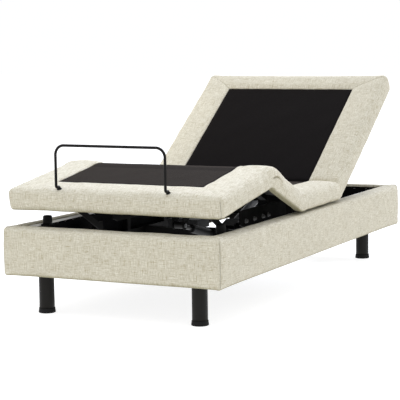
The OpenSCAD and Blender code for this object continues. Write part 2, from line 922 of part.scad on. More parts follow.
module head_gearbox() {
    on_head_drive() gearbox(head_gearbox_l);
}
module head_motor() {
    on_head_drive() motor(head_gearbox_l);
}
module head_outer_tube() {
    on_head_drive() outer_tube(head_gearbox_l, head_tube_end);
}
module head_rod() {
    on_head_rod() drive_rod(head_rod_l);
}
module leg_gearbox() {
    on_leg_drive() gearbox(leg_gearbox_l);
}
module leg_motor() {
    on_leg_drive() motor(leg_gearbox_l);
}
module leg_outer_tube() {
    on_leg_drive() outer_tube(leg_gearbox_l, leg_tube_end);
}
module leg_rod() {
    on_leg_rod() drive_rod(leg_rod_l);
}

left_rail_cover();
right_rail_cover();
foot_rail_cover();
head_rail_cover();
rail_boards();
inner_lining();
ledger_strips();
left_side_tube();
right_side_tube();
foot_cross_tube();
middle_cross_tube();
head_cross_tube();
rail_brackets();
leg_plates();
foot_left_leg();
foot_right_leg();
head_left_leg();
head_right_leg();
leg_studs();
leg_feet();
seat_posts();
bumper_brackets();
rubber_bumpers();
link_guides();
control_box();
power_supply();
power_inlet();
seat_cover();
seat_panel();
seat_board();
seat_frame();
actuator_base_pins();
head_hinge_pins();
thigh_hinge_pins();
head_cover();
head_panel();
head_board();
head_frame();
head_lever_pin();
thigh_cover();
thigh_panel();
thigh_board();
thigh_frame();
thigh_lever_pin();
knee_hinge_pins();
foot_cover();
foot_panel();
foot_board();
foot_frame();
retainer_bar();
bar_sockets();
foot_links();
head_gearbox();
head_motor();
head_outer_tube();
head_rod();
leg_gearbox();
leg_motor();
leg_outer_tube();
leg_rod();
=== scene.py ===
import json
import math

import bmesh
import bpy
import numpy as np
from mathutils import Matrix, Vector

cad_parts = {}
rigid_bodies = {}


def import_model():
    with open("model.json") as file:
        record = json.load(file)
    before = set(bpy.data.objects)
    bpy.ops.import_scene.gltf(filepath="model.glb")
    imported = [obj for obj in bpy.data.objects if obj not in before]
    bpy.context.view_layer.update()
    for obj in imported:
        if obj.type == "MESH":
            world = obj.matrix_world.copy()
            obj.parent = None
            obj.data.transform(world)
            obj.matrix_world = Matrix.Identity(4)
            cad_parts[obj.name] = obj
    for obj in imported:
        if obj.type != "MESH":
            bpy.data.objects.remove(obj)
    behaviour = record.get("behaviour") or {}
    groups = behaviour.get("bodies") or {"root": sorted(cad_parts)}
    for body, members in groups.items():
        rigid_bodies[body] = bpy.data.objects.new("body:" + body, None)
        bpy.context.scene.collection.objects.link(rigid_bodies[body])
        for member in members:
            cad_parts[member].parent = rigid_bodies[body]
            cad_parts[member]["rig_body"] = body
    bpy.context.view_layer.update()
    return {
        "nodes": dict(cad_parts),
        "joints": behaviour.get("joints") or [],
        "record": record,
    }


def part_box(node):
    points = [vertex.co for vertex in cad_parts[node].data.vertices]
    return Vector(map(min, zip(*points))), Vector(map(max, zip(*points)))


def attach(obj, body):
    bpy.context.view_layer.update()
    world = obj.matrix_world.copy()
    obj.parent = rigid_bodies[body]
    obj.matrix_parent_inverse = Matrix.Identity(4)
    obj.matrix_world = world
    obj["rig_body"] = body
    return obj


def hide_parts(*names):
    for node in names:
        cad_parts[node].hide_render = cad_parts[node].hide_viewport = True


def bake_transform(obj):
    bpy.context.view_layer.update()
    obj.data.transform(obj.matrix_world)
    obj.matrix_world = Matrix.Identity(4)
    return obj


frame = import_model()

# ---- measurements from the frame
JOINT = {j["name"]: j for j in frame["joints"]}
COUPLED = {c["joint"]: c["ratio"] for c in frame["record"]["behaviour"]["couplings"]}
_, HEAD_Y, PIVOT_Z = JOINT["head_hinge"]["pos_m"]
_, THIGH_Y, _ = JOINT["thigh_hinge"]["pos_m"]
_, KNEE_Y, KNEE_Z = JOINT["knee_hinge"]["pos_m"]
HEAD_A = -math.radians(JOINT["head_hinge"]["range_deg"][0])
THIGH_A = -math.radians(JOINT["thigh_hinge"]["range_deg"][0])
KNEE_A = THIGH_A * COUPLED["knee_hinge"]
FOOT_A = KNEE_A - THIGH_A


def turn(y, z, cy, cz, a):
    """Points turned about the X axis through (cy, cz); a positive angle lifts what is on the +Y side."""
    c, s = np.cos(a), np.sin(a)
    return cy + (y - cy) * c - (z - cz) * s, cz + (y - cy) * s + (z - cz) * c


KNEE_FLAT_Y, KNEE_FLAT_Z = turn(KNEE_Y, KNEE_Z, THIGH_Y, PIVOT_Z, THIGH_A)


def flat_box(node):
    """The corners of a CAD node's box with the deck lying flat."""
    co = np.array([v.co for v in frame["nodes"][node].data.vertices], float)
    y, z = co[:, 1], co[:, 2]
    body = frame["nodes"][node]["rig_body"]
    if body == "head_section":
        y, z = turn(y, z, HEAD_Y, PIVOT_Z, -HEAD_A)
    if body in ("thigh_section", "foot_section"):
        y, z = turn(y, z, THIGH_Y, PIVOT_Z, THIGH_A)
    if body == "foot_section":
        y, z = turn(y, z, KNEE_FLAT_Y, KNEE_FLAT_Z, -KNEE_A)
    co = np.stack([co[:, 0], y, z], 1)
    return co.min(0), co.max(0)


HEAD_BOX, FOOT_BOX, SEAT_BOX = flat_box("head_cover"), flat_box("foot_cover"), flat_box("seat_cover")
BORDER_PROUD, PANEL_PROUD = 0.01, 0.009  # how far the soft goods stand out at the head end
DECK_W = SEAT_BOX[1][0]
DECK_TOP = SEAT_BOX[1][2]
DECK_T = DECK_TOP - SEAT_BOX[0][2]
DECK_Y0, DECK_Y1 = FOOT_BOX[0][1], HEAD_BOX[1][1] + BORDER_PROUD
PANEL_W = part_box("seat_panel")[1].x
PANEL_Y0, PANEL_Y1 = flat_box("foot_panel")[0][1], flat_box("head_panel")[1][1] + PANEL_PROUD
BASE_W, BASE_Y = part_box("right_rail_cover")[1].x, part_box("head_rail_cover")[1].y
BASE_Z0, BASE_Z1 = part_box("foot_rail_cover")[0].z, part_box("foot_rail_cover")[1].z

# the stretches of fabric that bend at each hinge: half their length, and the cuts just beyond it
HINGES = {"head": (HEAD_Y, PIVOT_Z), "thigh": (THIGH_Y, PIVOT_Z), "knee": (KNEE_FLAT_Y, KNEE_FLAT_Z)}
HALF = {"head": 0.026, "thigh": 0.04, "knee": 0.058}
CUT_MARGIN = 0.006
CUTS = {k: (HINGES[k][0] - HALF[k] - CUT_MARGIN, HINGES[k][0] + HALF[k] + CUT_MARGIN) for k in HINGES}


def smooth(t):
    t = np.clip(t, 0, 1)
    return t * t * (3 - 2 * t)


def bell(x, width):
    return np.exp(-((x / width) ** 2))


def bent(p):
    """Points of the flat deck carried to their places at rest, bending smoothly over each hinge."""
    p = np.array(p, float)
    x, y, z = p[..., 0], p[..., 1], p[..., 2]
    wh = smooth((y - HEAD_Y + HALF["head"]) / (2 * HALF["head"]))
    wt = smooth((THIGH_Y - y + HALF["thigh"]) / (2 * HALF["thigh"]))
    wk = smooth((KNEE_FLAT_Y - y + HALF["knee"]) / (2 * HALF["knee"]))
    y1, z1 = turn(y, z, KNEE_FLAT_Y, KNEE_FLAT_Z, KNEE_A * wk)
    y2, z2 = turn(y1, z1, THIGH_Y, PIVOT_Z, -THIGH_A * wt)
    y3, z3 = turn(y2, z2, HEAD_Y, PIVOT_Z, HEAD_A * wh)
    return np.stack([x, y3, z3], -1)


# ---- small helpers
def noise3(p, seed, scale):
    """Smooth repeatable noise in -1..1 at the points p, from a few sine waves."""
    rng = np.random.default_rng(seed)
    out = np.zeros(p.shape[:-1])
    for _ in range(7):
        k = rng.normal(size=3)
        k *= (0.6 + 0.9 * rng.random()) / scale / np.linalg.norm(k)
        out += np.sin(p @ k * 2 * math.pi + rng.random() * 2 * math.pi)
    return out / 3.2


def new_object(name, verts, faces, uvs=None, material=None):
    mesh = bpy.data.meshes.new(name)
    mesh.from_pydata([tuple(v) for v in verts], [], faces)
    if uvs is not None:
        layer = mesh.uv_layers.new(name="weave")
        loops = np.empty(len(mesh.loops), np.int64)
        mesh.loops.foreach_get("vertex_index", loops)
        layer.data.foreach_set("uv", np.asarray(uvs, np.float32)[loops].ravel())
    mesh.validate()
    mesh.update()
    mesh.polygons.foreach_set("use_smooth", [True] * len(mesh.polygons))
    obj = bpy.data.objects.new(name, mesh)
    bpy.context.scene.collection.objects.link(obj)
    if material is not None:
        mesh.materials.append(material)
    return obj


def tidy(obj, sharp=None):
    """Faces turned outward, and the flat ends of a piece and edges steeper than `sharp` shaded as edges."""
    bm = bmesh.new()
    bm.from_mesh(obj.data)
    bmesh.ops.recalc_face_normals(bm, faces=bm.faces)
    for f in bm.faces:
        if len(f.verts) > 6:
            for e in f.edges:
                e.smooth = False
    for e in bm.edges:
        if sharp and e.calc_face_angle(0) > sharp:
            e.smooth = False
    bm.to_mesh(obj.data)
    bm.free()
    return obj


def finish_piece(obj, body=None, hinge=None, stands=None):
    """The body that a piece moves with (a piece over a hinge is baked in place instead), and the node that it stands
    for.
    """
    if hinge:
        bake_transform(obj)
    else:
        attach(obj, body)
    if stands:
        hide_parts(stands)


def grid_faces(rows, cols, closed_rows=False, closed_cols=False, flip=False):
    faces = []
    for i in range(rows if closed_rows else rows - 1):
        for j in range(cols if closed_cols else cols - 1):
            a, b = i * cols + j, i * cols + (j + 1) % cols
            c, d = ((i + 1) % rows) * cols + (j + 1) % cols, ((i + 1) % rows) * cols + j
            faces.append((a, d, c, b) if flip else (a, b, c, d))
    return faces


def ring_faces(rings, steps):
    """The faces of a closed skin over rings of points, with a cap at each end."""
    faces = grid_faces(rings, steps, closed_cols=True)
    faces.append(tuple(reversed(range(steps))))
    faces.append(tuple((rings - 1) * steps + k for k in range(steps)))
    return faces


def lathe(name, profile, at, material, steps):
    """A turned piece: profile is a list of (radius, height) from bottom to top."""
    verts, uvs = [], []
    for r, h in profile:
        for k in range(steps):
            a = 2 * math.pi * k / steps
            verts.append((r * math.cos(a), r * math.sin(a), h))
            uvs.append((k / steps * 0.2, h))
    obj = new_object(name, verts, ring_faces(len(profile), steps), uvs, material)
    obj.data.transform(Matrix.Translation(Vector(at)))
    return obj


def tube(name, path, radius, material, sides):
    """A round tube along a list of points."""
    path = np.array(path, float)
    tangents = np.gradient(path, axis=0)
    tangents /= np.linalg.norm(tangents, axis=1)[:, None]
    up = np.array([0.0, 0, 1]) if abs(tangents[0][2]) < 0.9 else np.array([0.0, 1, 0])
    verts, uvs, run = [], [], 0.0
    side = np.cross(up, tangents[0])
    for i, (p, t) in enumerate(zip(path, tangents)):
        side = side - t * (side @ t)
        side /= np.linalg.norm(side)
        top = np.cross(t, side)
        if i:
            run += np.linalg.norm(p - path[i - 1])
        for k in range(sides):
            a = 2 * math.pi * k / sides
            verts.append(p + radius * (math.cos(a) * side + math.sin(a) * top))
            uvs.append((radius * a, run))
    return new_object(name, verts, ring_faces(len(path), sides), uvs, material)


def rounded_path(points, radii, step):
    """A polyline whose inner corners are rounded to the given radii."""
    out = [np.array(points[0], float)]
    for i in range(1, len(points) - 1):
        p, a, b = (np.array(points[k], float) for k in (i, i - 1, i + 1))
        u, v = (a - p) / np.linalg.norm(a - p), (b - p) / np.linalg.norm(b - p)
        half = math.acos(float(np.clip(u @ v, -1, 1))) / 2
        r = radii[i - 1]
        reach = r / math.tan(half)
        centre = p + (u + v) / np.linalg.norm(u + v) * r / math.sin(half)
        s, e = p + u * reach, p + v * reach
        n = max(4, int((math.pi - 2 * half) * r / step))
        for k in range(n + 1):
            q = s + (e - s) * k / n - centre
            out.append(centre + q / np.linalg.norm(q) * r)
    out.append(np.array(points[-1], float))
    return out


# ---- materials
def scaled(color, factor):
    return tuple(v * factor for v in color)


class Shader:
    """A Principled material, and short ways to add nodes to it."""

    def __init__(self, name, color, rough, gloss=None, metallic=0.0):
        self.material = bpy.data.materials.new(name)
        self.material.use_nodes = True
        self.nodes, self.links = self.material.node_tree.nodes, self.material.node_tree.links
        self.inputs = self.nodes["Principled BSDF"].inputs
        self.set(Base_Color=(*color, 1), Roughness=rough, Metallic=metallic)
        if gloss is not None:
            self.set(Specular_IOR_Level=gloss)

    def set(self, **values):
        """Numbers and colours that are the same all over the surface."""
        for k, v in values.items():
            self.inputs[k.replace("_", " ")].default_value = v

    def node(self, kind, **values):
        """A node with the given values in its inputs and settings."""
        n = self.nodes.new(kind)
        for k, v in values.items():
            if k in n.inputs:
                n.inputs[k].default_value = v
            else:
                setattr(n, k, v)
        return n

    def feed(self, value, socket):
        """Gives a socket a number, a colour or another node's output."""
        if isinstance(value, (int, float)):
            socket.default_value = value
        elif isinstance(value, tuple):
            socket.default_value = (*value, 1)
        else:
            self.links.new(value, socket)

    def math(self, operation, *values):
        n = self.node("ShaderNodeMath", operation=operation)
        for v, socket in zip(values, n.inputs):
            self.feed(v, socket)
        return n.outputs[0]

    def mix(self, fac, a, b, blend="MIX"):
        n = self.node("ShaderNodeMix", data_type="RGBA", blend_type=blend)
        for i, v in ((0, fac), (6, a), (7, b)):
            self.feed(v, n.inputs[i])
        return n.outputs[2]

    def noise(self, vector, scale, detail, rough, stretch=None, shift=(0, 0, 0)):
        if stretch is not None:
            mapping = self.node("ShaderNodeMapping", Scale=stretch, Location=shift)
            self.links.new(vector, mapping.inputs["Vector"])
            vector = mapping.outputs[0]
        n = self.node("ShaderNodeTexNoise", Scale=scale, Detail=detail, Roughness=rough)
        self.links.new(vector, n.inputs["Vector"])
        return n.outputs["Fac"]

    def ramp(self, fac, stops):
        """A colour ramp, where a plain number stands for a grey."""
        n = self.nodes.new("ShaderNodeValToRGB")
        while len(n.color_ramp.elements) < len(stops):
            n.color_ramp.elements.new(0.5)
        for e, (position, c) in zip(n.color_ramp.elements, stops):
            e.position = position
            e.color = (*c, 1) if isinstance(c, tuple) else (c, c, c, 1)
        self.links.new(fac, n.inputs[0])
        return n.outputs[0]

    def weave(self):
        """The thread directions, in metres."""
        return self.node("ShaderNodeUVMap", uv_map="weave").outputs[0]

    def place(self):
        return self.node("ShaderNodeTexCoord").outputs["Object"]

    def normal(self):
        return self.node("ShaderNodeNewGeometry").outputs["Normal"]

    def finish(self, color, rough, height, strength, distance):
        """Connects the colour, the roughness and the bump, and returns the material."""
        self.links.new(color, self.inputs["Base Color"])
        self.links.new(rough, self.inputs["Roughness"])
        bump = self.node("ShaderNodeBump", Strength=strength, Distance=distance)
        self.links.new(height, bump.inputs["Height"])
        self.links.new(bump.outputs[0], self.inputs["Normal"])
        return self.material


def linen(name, tint=1.0):
    """Slubby basket weave: warm cream yarns with darker and lighter slubs along both threads."""
    s = Shader(name, (0.7, 0.66, 0.57), 0.92, gloss=0.25)
    s.set(Sheen_Weight=0.08, Sheen_Roughness=0.55)
    uv = s.weave()
    warp = s.noise(uv, 1.0, 2.0, 0.6, (700.0, 90.0, 1.0))
    weft = s.noise(uv, 1.0, 2.0, 0.6, (90.0, 700.0, 1.0), (7.3, 2.1, 0))
    slubs = [s.noise(uv, 1.0, 2.0, 0.6, (460.0, 24.0, 1.0), (3.1, 9.4, 0))]
    slubs += [s.noise(uv, 1.0, 2.0, 0.6, (24.0, 460.0, 1.0), (1.7, 5.2, 0))]
    yarn = s.math("ADD", s.math("MULTIPLY", warp, 0.5), s.math("MULTIPLY", weft, 0.5))
    yarn_colors = [(0.38, (0.42, 0.385, 0.29)), (0.47, (0.535, 0.505, 0.41))]
    yarn_colors += [(0.55, (0.565, 0.54, 0.45)), (0.66, (0.65, 0.635, 0.56))]
    color = s.ramp(yarn, [(position, scaled(c, tint)) for position, c in yarn_colors])
    slub_colors = [(0.29, (0.67, 0.61, 0.5)), (0.43, (0.935, 0.925, 0.89)), (0.56, 1.035), (0.7, (1.13, 1.14, 1.16))]
    for slub in slubs:
        color = s.mix(1.0, color, s.ramp(slub, slub_colors), "MULTIPLY")
    broad = s.noise(uv, 7.0, 2.0, 0.5)
    color = s.mix(1.0, color, s.ramp(broad, [(0.3, 0.97), (0.7, 1.02)]), "MULTIPLY")
    # painted shade: cloth that faces downward, as on the undersides, is darkened and warmed as if it lay in shade
    split = s.node("ShaderNodeSeparateXYZ")
    s.links.new(s.normal(), split.inputs[0])
    down = s.math("MULTIPLY", split.outputs[2], -1.0)
    color = s.mix(1.0, color, s.ramp(down, [(0.3, 1.0), (0.88, (0.48, 0.465, 0.34))]), "MULTIPLY")
    # threads that pass over and under each other
    threads = []
    for direction in "XY":
        wander = {"Distortion": 1.4, "Detail": 1.0, "Detail Scale": 1.5}
        bands = s.node("ShaderNodeTexWave", wave_type="BANDS", bands_direction=direction, Scale=112.0, **wander)
        s.links.new(uv, bands.inputs["Vector"])
        threads.append(bands.outputs["Fac"])
    over = s.math("MULTIPLY", s.math("MAXIMUM", *threads), 0.35)
    height = s.math("ADD", over, s.math("ADD", yarn, s.math("MINIMUM", *slubs)))
    return s.finish(color, s.ramp(yarn, [(0.35, 0.98), (0.65, 0.86)]), height, 0.55, 0.0016)


def black_cloth(name, color, grain, sheen=0.0):
    """Tight matt black cloth with a fine pebbled grain and faint slubs."""
    s = Shader(name, color, 0.8, gloss=0.03)
    s.set(Sheen_Weight=sheen, Sheen_Roughness=0.36, Sheen_Tint=(1.0, 0.84, 0.7, 1))
    uv = s.weave()
    warp = s.noise(uv, 1.0, 2.0, 0.6, (900.0, 60.0, 1.0))
    weft = s.noise(uv, 1.0, 2.0, 0.6, (60.0, 900.0, 1.0), (4.3, 1.1, 0))
    yarn = s.math("MULTIPLY", s.math("ADD", warp, weft), 0.5)
    shades = s.ramp(yarn, [(0.36, scaled(color, 0.55)), (0.5, color), (0.66, scaled(color, 2.1))])
    pebbles = s.node("ShaderNodeTexVoronoi", Scale=grain)
    s.links.new(uv, pebbles.inputs["Vector"])
    height = s.math("ADD", pebbles.outputs["Distance"], yarn)
    return s.finish(shades, s.ramp(yarn, [(0.35, 0.9), (0.65, 0.7)]), height, 0.4, 0.0008)


def coated_steel(name, color, rough, gloss):
    """Powder-coated steel: satin, with fine orange peel, dust in the hollows and worn edges."""
    s = Shader(name, color, rough, gloss)
    peel = s.noise(s.place(), 900.0, 3.0, 0.6)
    cloud = s.noise(s.place(), 14.0, 4.0, 0.6)
    coat = s.ramp(cloud, [(0.3, scaled(color, 0.8)), (0.6, scaled(color, 1.15)), (0.75, scaled(color, 1.9))])
    dot = s.node("ShaderNodeVectorMath", operation="DOT_PRODUCT")
    s.links.new(s.node("ShaderNodeBevel", samples=4, Radius=0.0015).outputs[0], dot.inputs[0])
    s.links.new(s.normal(), dot.inputs[1])
    worn = s.math("MULTIPLY", s.ramp(dot.outputs["Value"], [(0.8, 1.0), (0.97, 0.0)]), cloud)
    roughness = s.ramp(cloud, [(0.3, rough - 0.08), (0.7, rough + 0.14)])
    return s.finish(s.mix(worn, coat, scaled(color, 5.0)), roughness, peel, 0.12, 0.0005)


def bright_steel(name):
    """Zinc-plated steel with fine turning marks and dull patches."""
    s = Shader(name, (0.52, 0.53, 0.54), 0.35, metallic=1.0)
    marks = s.noise(s.place(), 1.0, 3.0, 0.7, (1400.0, 1400.0, 90.0))
    cloud = s.noise(s.place(), 30.0, 4.0, 0.65)
    color = s.ramp(cloud, [(0.3, (0.38, 0.385, 0.39)), (0.7, (0.62, 0.63, 0.64))])
    return s.finish(color, s.ramp(marks, [(0.3, 0.26), (0.7, 0.5)]), marks, 0.1, 0.0003)


def moulded(name, color, rough, grain=700.0):
    """Moulded plastic or rubber with a spark-eroded grain."""
    s = Shader(name, color, rough, gloss=0.16)
    spark = s.noise(s.place(), grain, 2.0, 0.6)
    cloud = s.noise(s.place(), 22.0, 3.0, 0.6)
    shades = s.ramp(cloud, [(0.3, scaled(color, 0.8)), (0.7, scaled(color, 1.35))])
    return s.finish(shades, s.ramp(spark, [(0.3, rough - 0.1), (0.7, rough + 0.12)]), spark, 0.25, 0.0006)


def timber(name, dark, light):
    """Wood with its grain along Y."""
    s = Shader(name, light, 0.6)
    broad = s.noise(s.place(), 1.0, 5.0, 0.6, (60.0, 3.0, 60.0))
    fibre = s.noise(s.place(), 1.0, 2.0, 0.5, (540.0, 27.0, 540.0))
    both = s.math("ADD", s.math("MULTIPLY", broad, 0.75), s.math("MULTIPLY", fibre, 0.25))
    color = s.ramp(both, [(0.35, dark), (0.6, light)])
    return s.finish(color, s.ramp(fibre, [(0.3, 0.5), (0.7, 0.75)]), both, 0.2, 0.0006)


LINEN = linen("linen_weave")
THREAD = linen("linen_thread", 0.64)
PANEL = black_cloth("non_slip_weave", (0.002, 0.0015, 0.0016), 260.0, sheen=0.1)
LINING = black_cloth("lining_cloth", (0.004, 0.004, 0.0045), 300.0)
BLACK_STEEL = coated_steel("black_powder_coat", (0.005, 0.0043, 0.003), 0.42, 0.18)
FRAME_STEEL = coated_steel("frame_powder_coat", (0.0034, 0.0032, 0.003), 0.55, 0.07)
ROD_STEEL = coated_steel("blackened_rod", (0.006, 0.0058, 0.0055), 0.38, 0.3)
BAR_STEEL = coated_steel("bar_powder_coat", (0.005, 0.0045, 0.004), 0.36, 0.13)
BRIGHT = bright_steel("zinc_plate")
BOLT = coated_steel("bolt_steel", (0.1, 0.1, 0.1), 0.36, 0.5)
RUBBER = moulded("black_rubber", (0.006, 0.006, 0.006), 0.62, 900.0)
PLASTIC = moulded("black_moulding", (0.009, 0.009, 0.0095), 0.5)
GREY = moulded("grey_moulding", (0.13, 0.13, 0.135), 0.4)
PALE_WOOD = timber("pale_strip_wood", (0.8, 0.78, 0.72), (0.9, 0.89, 0.85))
RAIL_WOOD = timber("rail_plywood", (0.36, 0.24, 0.13), (0.62, 0.47, 0.3))
DECK_WOOD = timber("black_faced_board", (0.004, 0.004, 0.004), (0.01, 0.009, 0.009))


# ---- fabric loops
GROOVE = (0.004, 0.009, 0.016)  # where stations stand beside a corner seam, so that it can sink in
GAP = 0.003  # the least distance from those to the next station
FAN = (0, 15, 30, 45, 60, 75, 90)  # degrees round a corner; the seam is at 45
ON_SEAM = -1.0
SIDES = (
    ("side", 1), ("corner", 0), ("end", 1), ("corner", 90),
    ("side", -1), ("corner", 180), ("end", -1), ("corner", 270),
)


def plan_loop(w, y0, y1, r, inner_w, inner_y0, inner_y1, side_y, end_x, zone):
    """Stations round a rounded rectangle, anticlockwise from the foot end of the right side.

    Each is an outer point, its outward normal, the matching inner point, its distance from the corner (ON_SEAM on
    the seam), and 0 where its threads follow a side or 1 where they follow an end. The inner points of a side
    close up to the inner corners over the length `zone`.
    """
    stations = []
    for kind, which in SIDES:
        if kind == "side":
            lo, hi = y0 + r, y1 - r
            ys = {lo + g for g in GROOVE} | {hi - g for g in GROOVE}
            ys |= {y for y in side_y if lo + GROOVE[-1] + GAP < y < hi - GROOVE[-1] - GAP}
            for y in sorted(ys, reverse=which < 0):
                yi = y
                if y > inner_y1 - zone:
                    yi = inner_y1 - zone + (y - inner_y1 + zone) * zone / (hi - inner_y1 + zone)
                if y < inner_y0 + zone:
                    yi = inner_y0 + zone - (inner_y0 + zone - y) * zone / (inner_y0 + zone - lo)
                stations.append(((which * w, y), (which, 0), (which * inner_w, yi), min(hi - y, y - lo), 0))
        elif kind == "end":
            y, yi = (y1, inner_y1) if which > 0 else (y0, inner_y0)
            hi = w - r
            xs = {hi - g for g in GROOVE} | {g - hi for g in GROOVE}
            xs |= {x for x in end_x if abs(x) < hi - GROOVE[-1] - GAP}
            for x in sorted(xs, reverse=which > 0):
                stations.append(((x, y), (0, which), (x * inner_w / hi, yi), hi - abs(x), 1))
        else:
            sx, sy = (1 if which in (0, 270) else -1), (1 if which in (0, 90) else -1)
            cx, cy = sx * (w - r), (y1 - r if sy > 0 else y0 + r)
            corner_x, corner_y = sx * inner_w, (inner_y1 if sy > 0 else inner_y0)
            first_side = which in (0, 180)
            for f in FAN:
                a = math.radians(which) + math.radians(f)
                n = (math.cos(a), math.sin(a))
                # the fan is spread a little at the inner corner, so that no two stations meet
                spread = (f - 45) / 45 * 0.0015
                dx = -sx * max(spread, 0) if first_side else -sx * max(-spread, 0)
                dy = -sy * max(-spread, 0) if first_side else -sy * max(spread, 0)
                mark = ON_SEAM if f == 45 else -abs(f - 45) / 1000 - 1e-6
                inside = (corner_x + dx, corner_y + dy)
                outside = (cx + r * n[0], cy + r * n[1])
                stations.append((outside, n, inside, mark, int((f > 45) == first_side)))
    return [np.array(values) for values in zip(*stations)]


REACH = 0.02  # how far in from the outside the "in" rows start


def loop_surface(plan, rows, top):
    """The closed grid of a loop from rows of (mode, a, z), where z is the height over the top.

    "out" is a metres inward from the outside, and "in" is the fraction a of the way from REACH to the inner line.
    """
    outer, normal, inner = plan[:3]
    grid = np.zeros((len(outer), len(rows), 3))
    for j, (mode, a, z) in enumerate(rows):
        if mode == "out":
            p = outer - normal * a
        else:
            p = (outer - normal * REACH) * (1 - a) + inner * a
        grid[:, j, :2] = p
        grid[:, j, 2] = top + z
    return grid


def quarter_over(radius):
    """Rows over the rounded top edge, from the top face to the side."""
    return [("out", radius - radius * math.sin(a), -radius * (1 - math.cos(a))) for a in np.radians(range(0, 91, 18))]


def quarter_under(radius, low):
    """Rows under the rounded lower edge, which starts at the height low."""
    return [("out", radius * (1 - math.cos(a)), low - radius * math.sin(a)) for a in np.radians((30, 60, 90))]


def first_out(rows):
    return next(i for i, row in enumerate(rows) if row[0] == "out")


def doubled(a, middle, axis):
    """A grid with the values `middle` put in after its own along one axis."""
    shape = [n * 2 if i == axis else n for i, n in enumerate(a.shape)]
    return np.stack([a, middle], axis=axis + 1).reshape(shape)


def refine(a):
    """Doubles a closed grid in both directions along smooth curves through its points."""
    for axis in (0, 1):
        before, after, next_after = (np.roll(a, s, axis=axis) for s in (1, -1, -2))
        a = doubled(a, (-before + 9 * a + 9 * after - next_after) / 16, axis)
    return a


def refine_uv(a):
    """The same stations and rows as refine() gives, with the thread directions in between kept straight."""
    for axis in (0, 1):
        after = np.roll(a, -1, axis=axis)
        same_run = np.abs(after - a).max(-1, keepdims=True) < 0.5
        a = doubled(a, np.where(same_run, (a + after) / 2, a), axis)
    return a


def simulate(name, grid, pinned, cap):
    """Swells a closed grid of fabric with Blender's Cloth, and returns the grid moved by up to cap."""
    k, r, _ = grid.shape
    obj = new_object(name, grid.reshape(-1, 3), grid_faces(k, r, True, True))
    group = obj.vertex_groups.new(name="pin")
    for i, w in enumerate(pinned.ravel()):
        if w > 0:
            group.add([int(i)], float(w), "REPLACE")
    mod = obj.modifiers.new("cloth", "CLOTH")
    settings = {
        "quality": 5, "mass": 0.3, "tension_stiffness": 40, "compression_stiffness": 40, "shear_stiffness": 15,
        "bending_stiffness": 2.0, "use_pressure": True, "uniform_pressure_force": 3.0, "vertex_group_mass": "pin",
        "pin_stiffness": 1.0,
    }
    for key, value in settings.items():
        setattr(mod.settings, key, value)
    mod.settings.effector_weights.gravity = 0
    mod.collision_settings.use_collision = False
    mod.collision_settings.use_self_collision = False
    frames = 18
    mod.point_cache.frame_start = 1
    mod.point_cache.frame_end = frames
    scene = bpy.context.scene
    for f in range(1, frames + 1):
        scene.frame_set(f)
    result = np.empty(k * r * 3, np.float32)
    swollen = obj.evaluated_get(bpy.context.evaluated_depsgraph_get())
    swollen.data.vertices.foreach_get("co", result)
    scene.frame_set(1)
    bpy.data.objects.remove(obj)
    move = result.reshape(k, r, 3) - grid
    length = np.linalg.norm(move, axis=-1, keepdims=True)
    move *= np.minimum(1, cap / np.maximum(length, 1e-9))
    for _ in range(2):
        move = (2 * move + np.roll(move, 1, 0) + np.roll(move, -1, 0)) / 4
    return grid + move * (1 - pinned[..., None])


def cut(name, grid, uv, runs, material):
    """Runs of stations (first, last) of a closed loop grid as one object, each run closed at its ends."""
    verts, uvs, faces = [], [], []
    k, r, _ = grid.shape
    for a, b in runs:
        n = (b - a) % k + 1
        stations = [(a + i) % k for i in range(n)]
        base = len(verts)
        verts.extend(grid[stations].reshape(-1, 3))
        uvs.extend(uv[stations].reshape(-1, 2))
        faces.extend([tuple(base + v for v in f) for f in grid_faces(n, r, False, True)])
        faces.append(tuple(base + j for j in reversed(range(r))))
        faces.append(tuple(base + (n - 1) * r + j for j in range(r)))
    return tidy(new_object(name, verts, faces, uvs, material))


def outward_normals(g):
    """The normals of a closed grid, pointing out of it."""
    n = np.cross(np.roll(g, -1, 0) - np.roll(g, 1, 0), np.roll(g, -1, 1) - np.roll(g, 1, 1))
    n /= np.maximum(np.linalg.norm(n, axis=-1, keepdims=True), 1e-12)
    centre = g.mean(1, keepdims=True)
    return n * np.sign(((g - centre) * n).sum(-1).sum())


def weave_uv(flat, kinds, w, y0, y1, first_side_row):
    """Thread directions: along each run and across it, in metres."""
    k = len(flat)
    along_side = kinds[:, None] == 0
    x, y = flat[..., 0], flat[..., 1]
    u = np.where(along_side, y, x + 5.0)  # the ends and sides take different cloth
    v = np.where(along_side, w - np.abs(x), np.minimum(y1 - y, y - y0)) - REACH
    arc = np.concatenate([[0], np.cumsum(np.linalg.norm(np.diff(flat[k // 16], axis=0), axis=-1))])
    v[:, first_side_row:] = -(arc[first_side_row:] - arc[first_side_row])[None, :]
    return np.stack([u, v + np.where(along_side, 0.0, 3.0)], -1)


def station(plan, side, y):
    """The number of the station on one side (1 right, -1 left) at a given place along the bed."""
    outer, normal = plan[0], plan[1]
    return int(np.argmin(np.abs(outer[:, 1] - y) + 10 * (np.abs(normal[:, 0] - side) > 1e-6)))


def seam_stations(plan):
    """The seams' stations: head right, head left, foot left, foot right."""
    return np.flatnonzero(plan[3] == ON_SEAM)


# stations from a seam on the refined grid, and how deep the cloth sinks in there beyond the first two
SEAM_STEPS = (0, 1, 2, 3, 5, 8)
SEAM_BESIDE = (0.0002, -0.0003, -0.0006, -0.0004)


def seam_depth(plan, rows, deepest, starts=(0, 0, 0, 0), shares=(1, 1, 1, 1)):
    """How deep the cloth sinks in at each seam, from its row in `starts` on and to its share of the full depth."""
    depth = np.zeros((2 * len(plan[3]), rows))
    for seam, start, share in zip(seam_stations(plan), starts, shares):
        for step, d in zip(SEAM_STEPS, deepest + SEAM_BESIDE):
            for side in (-1, 1):
                depth[(2 * seam + side * step) % len(depth), start:] = d * share
    return depth


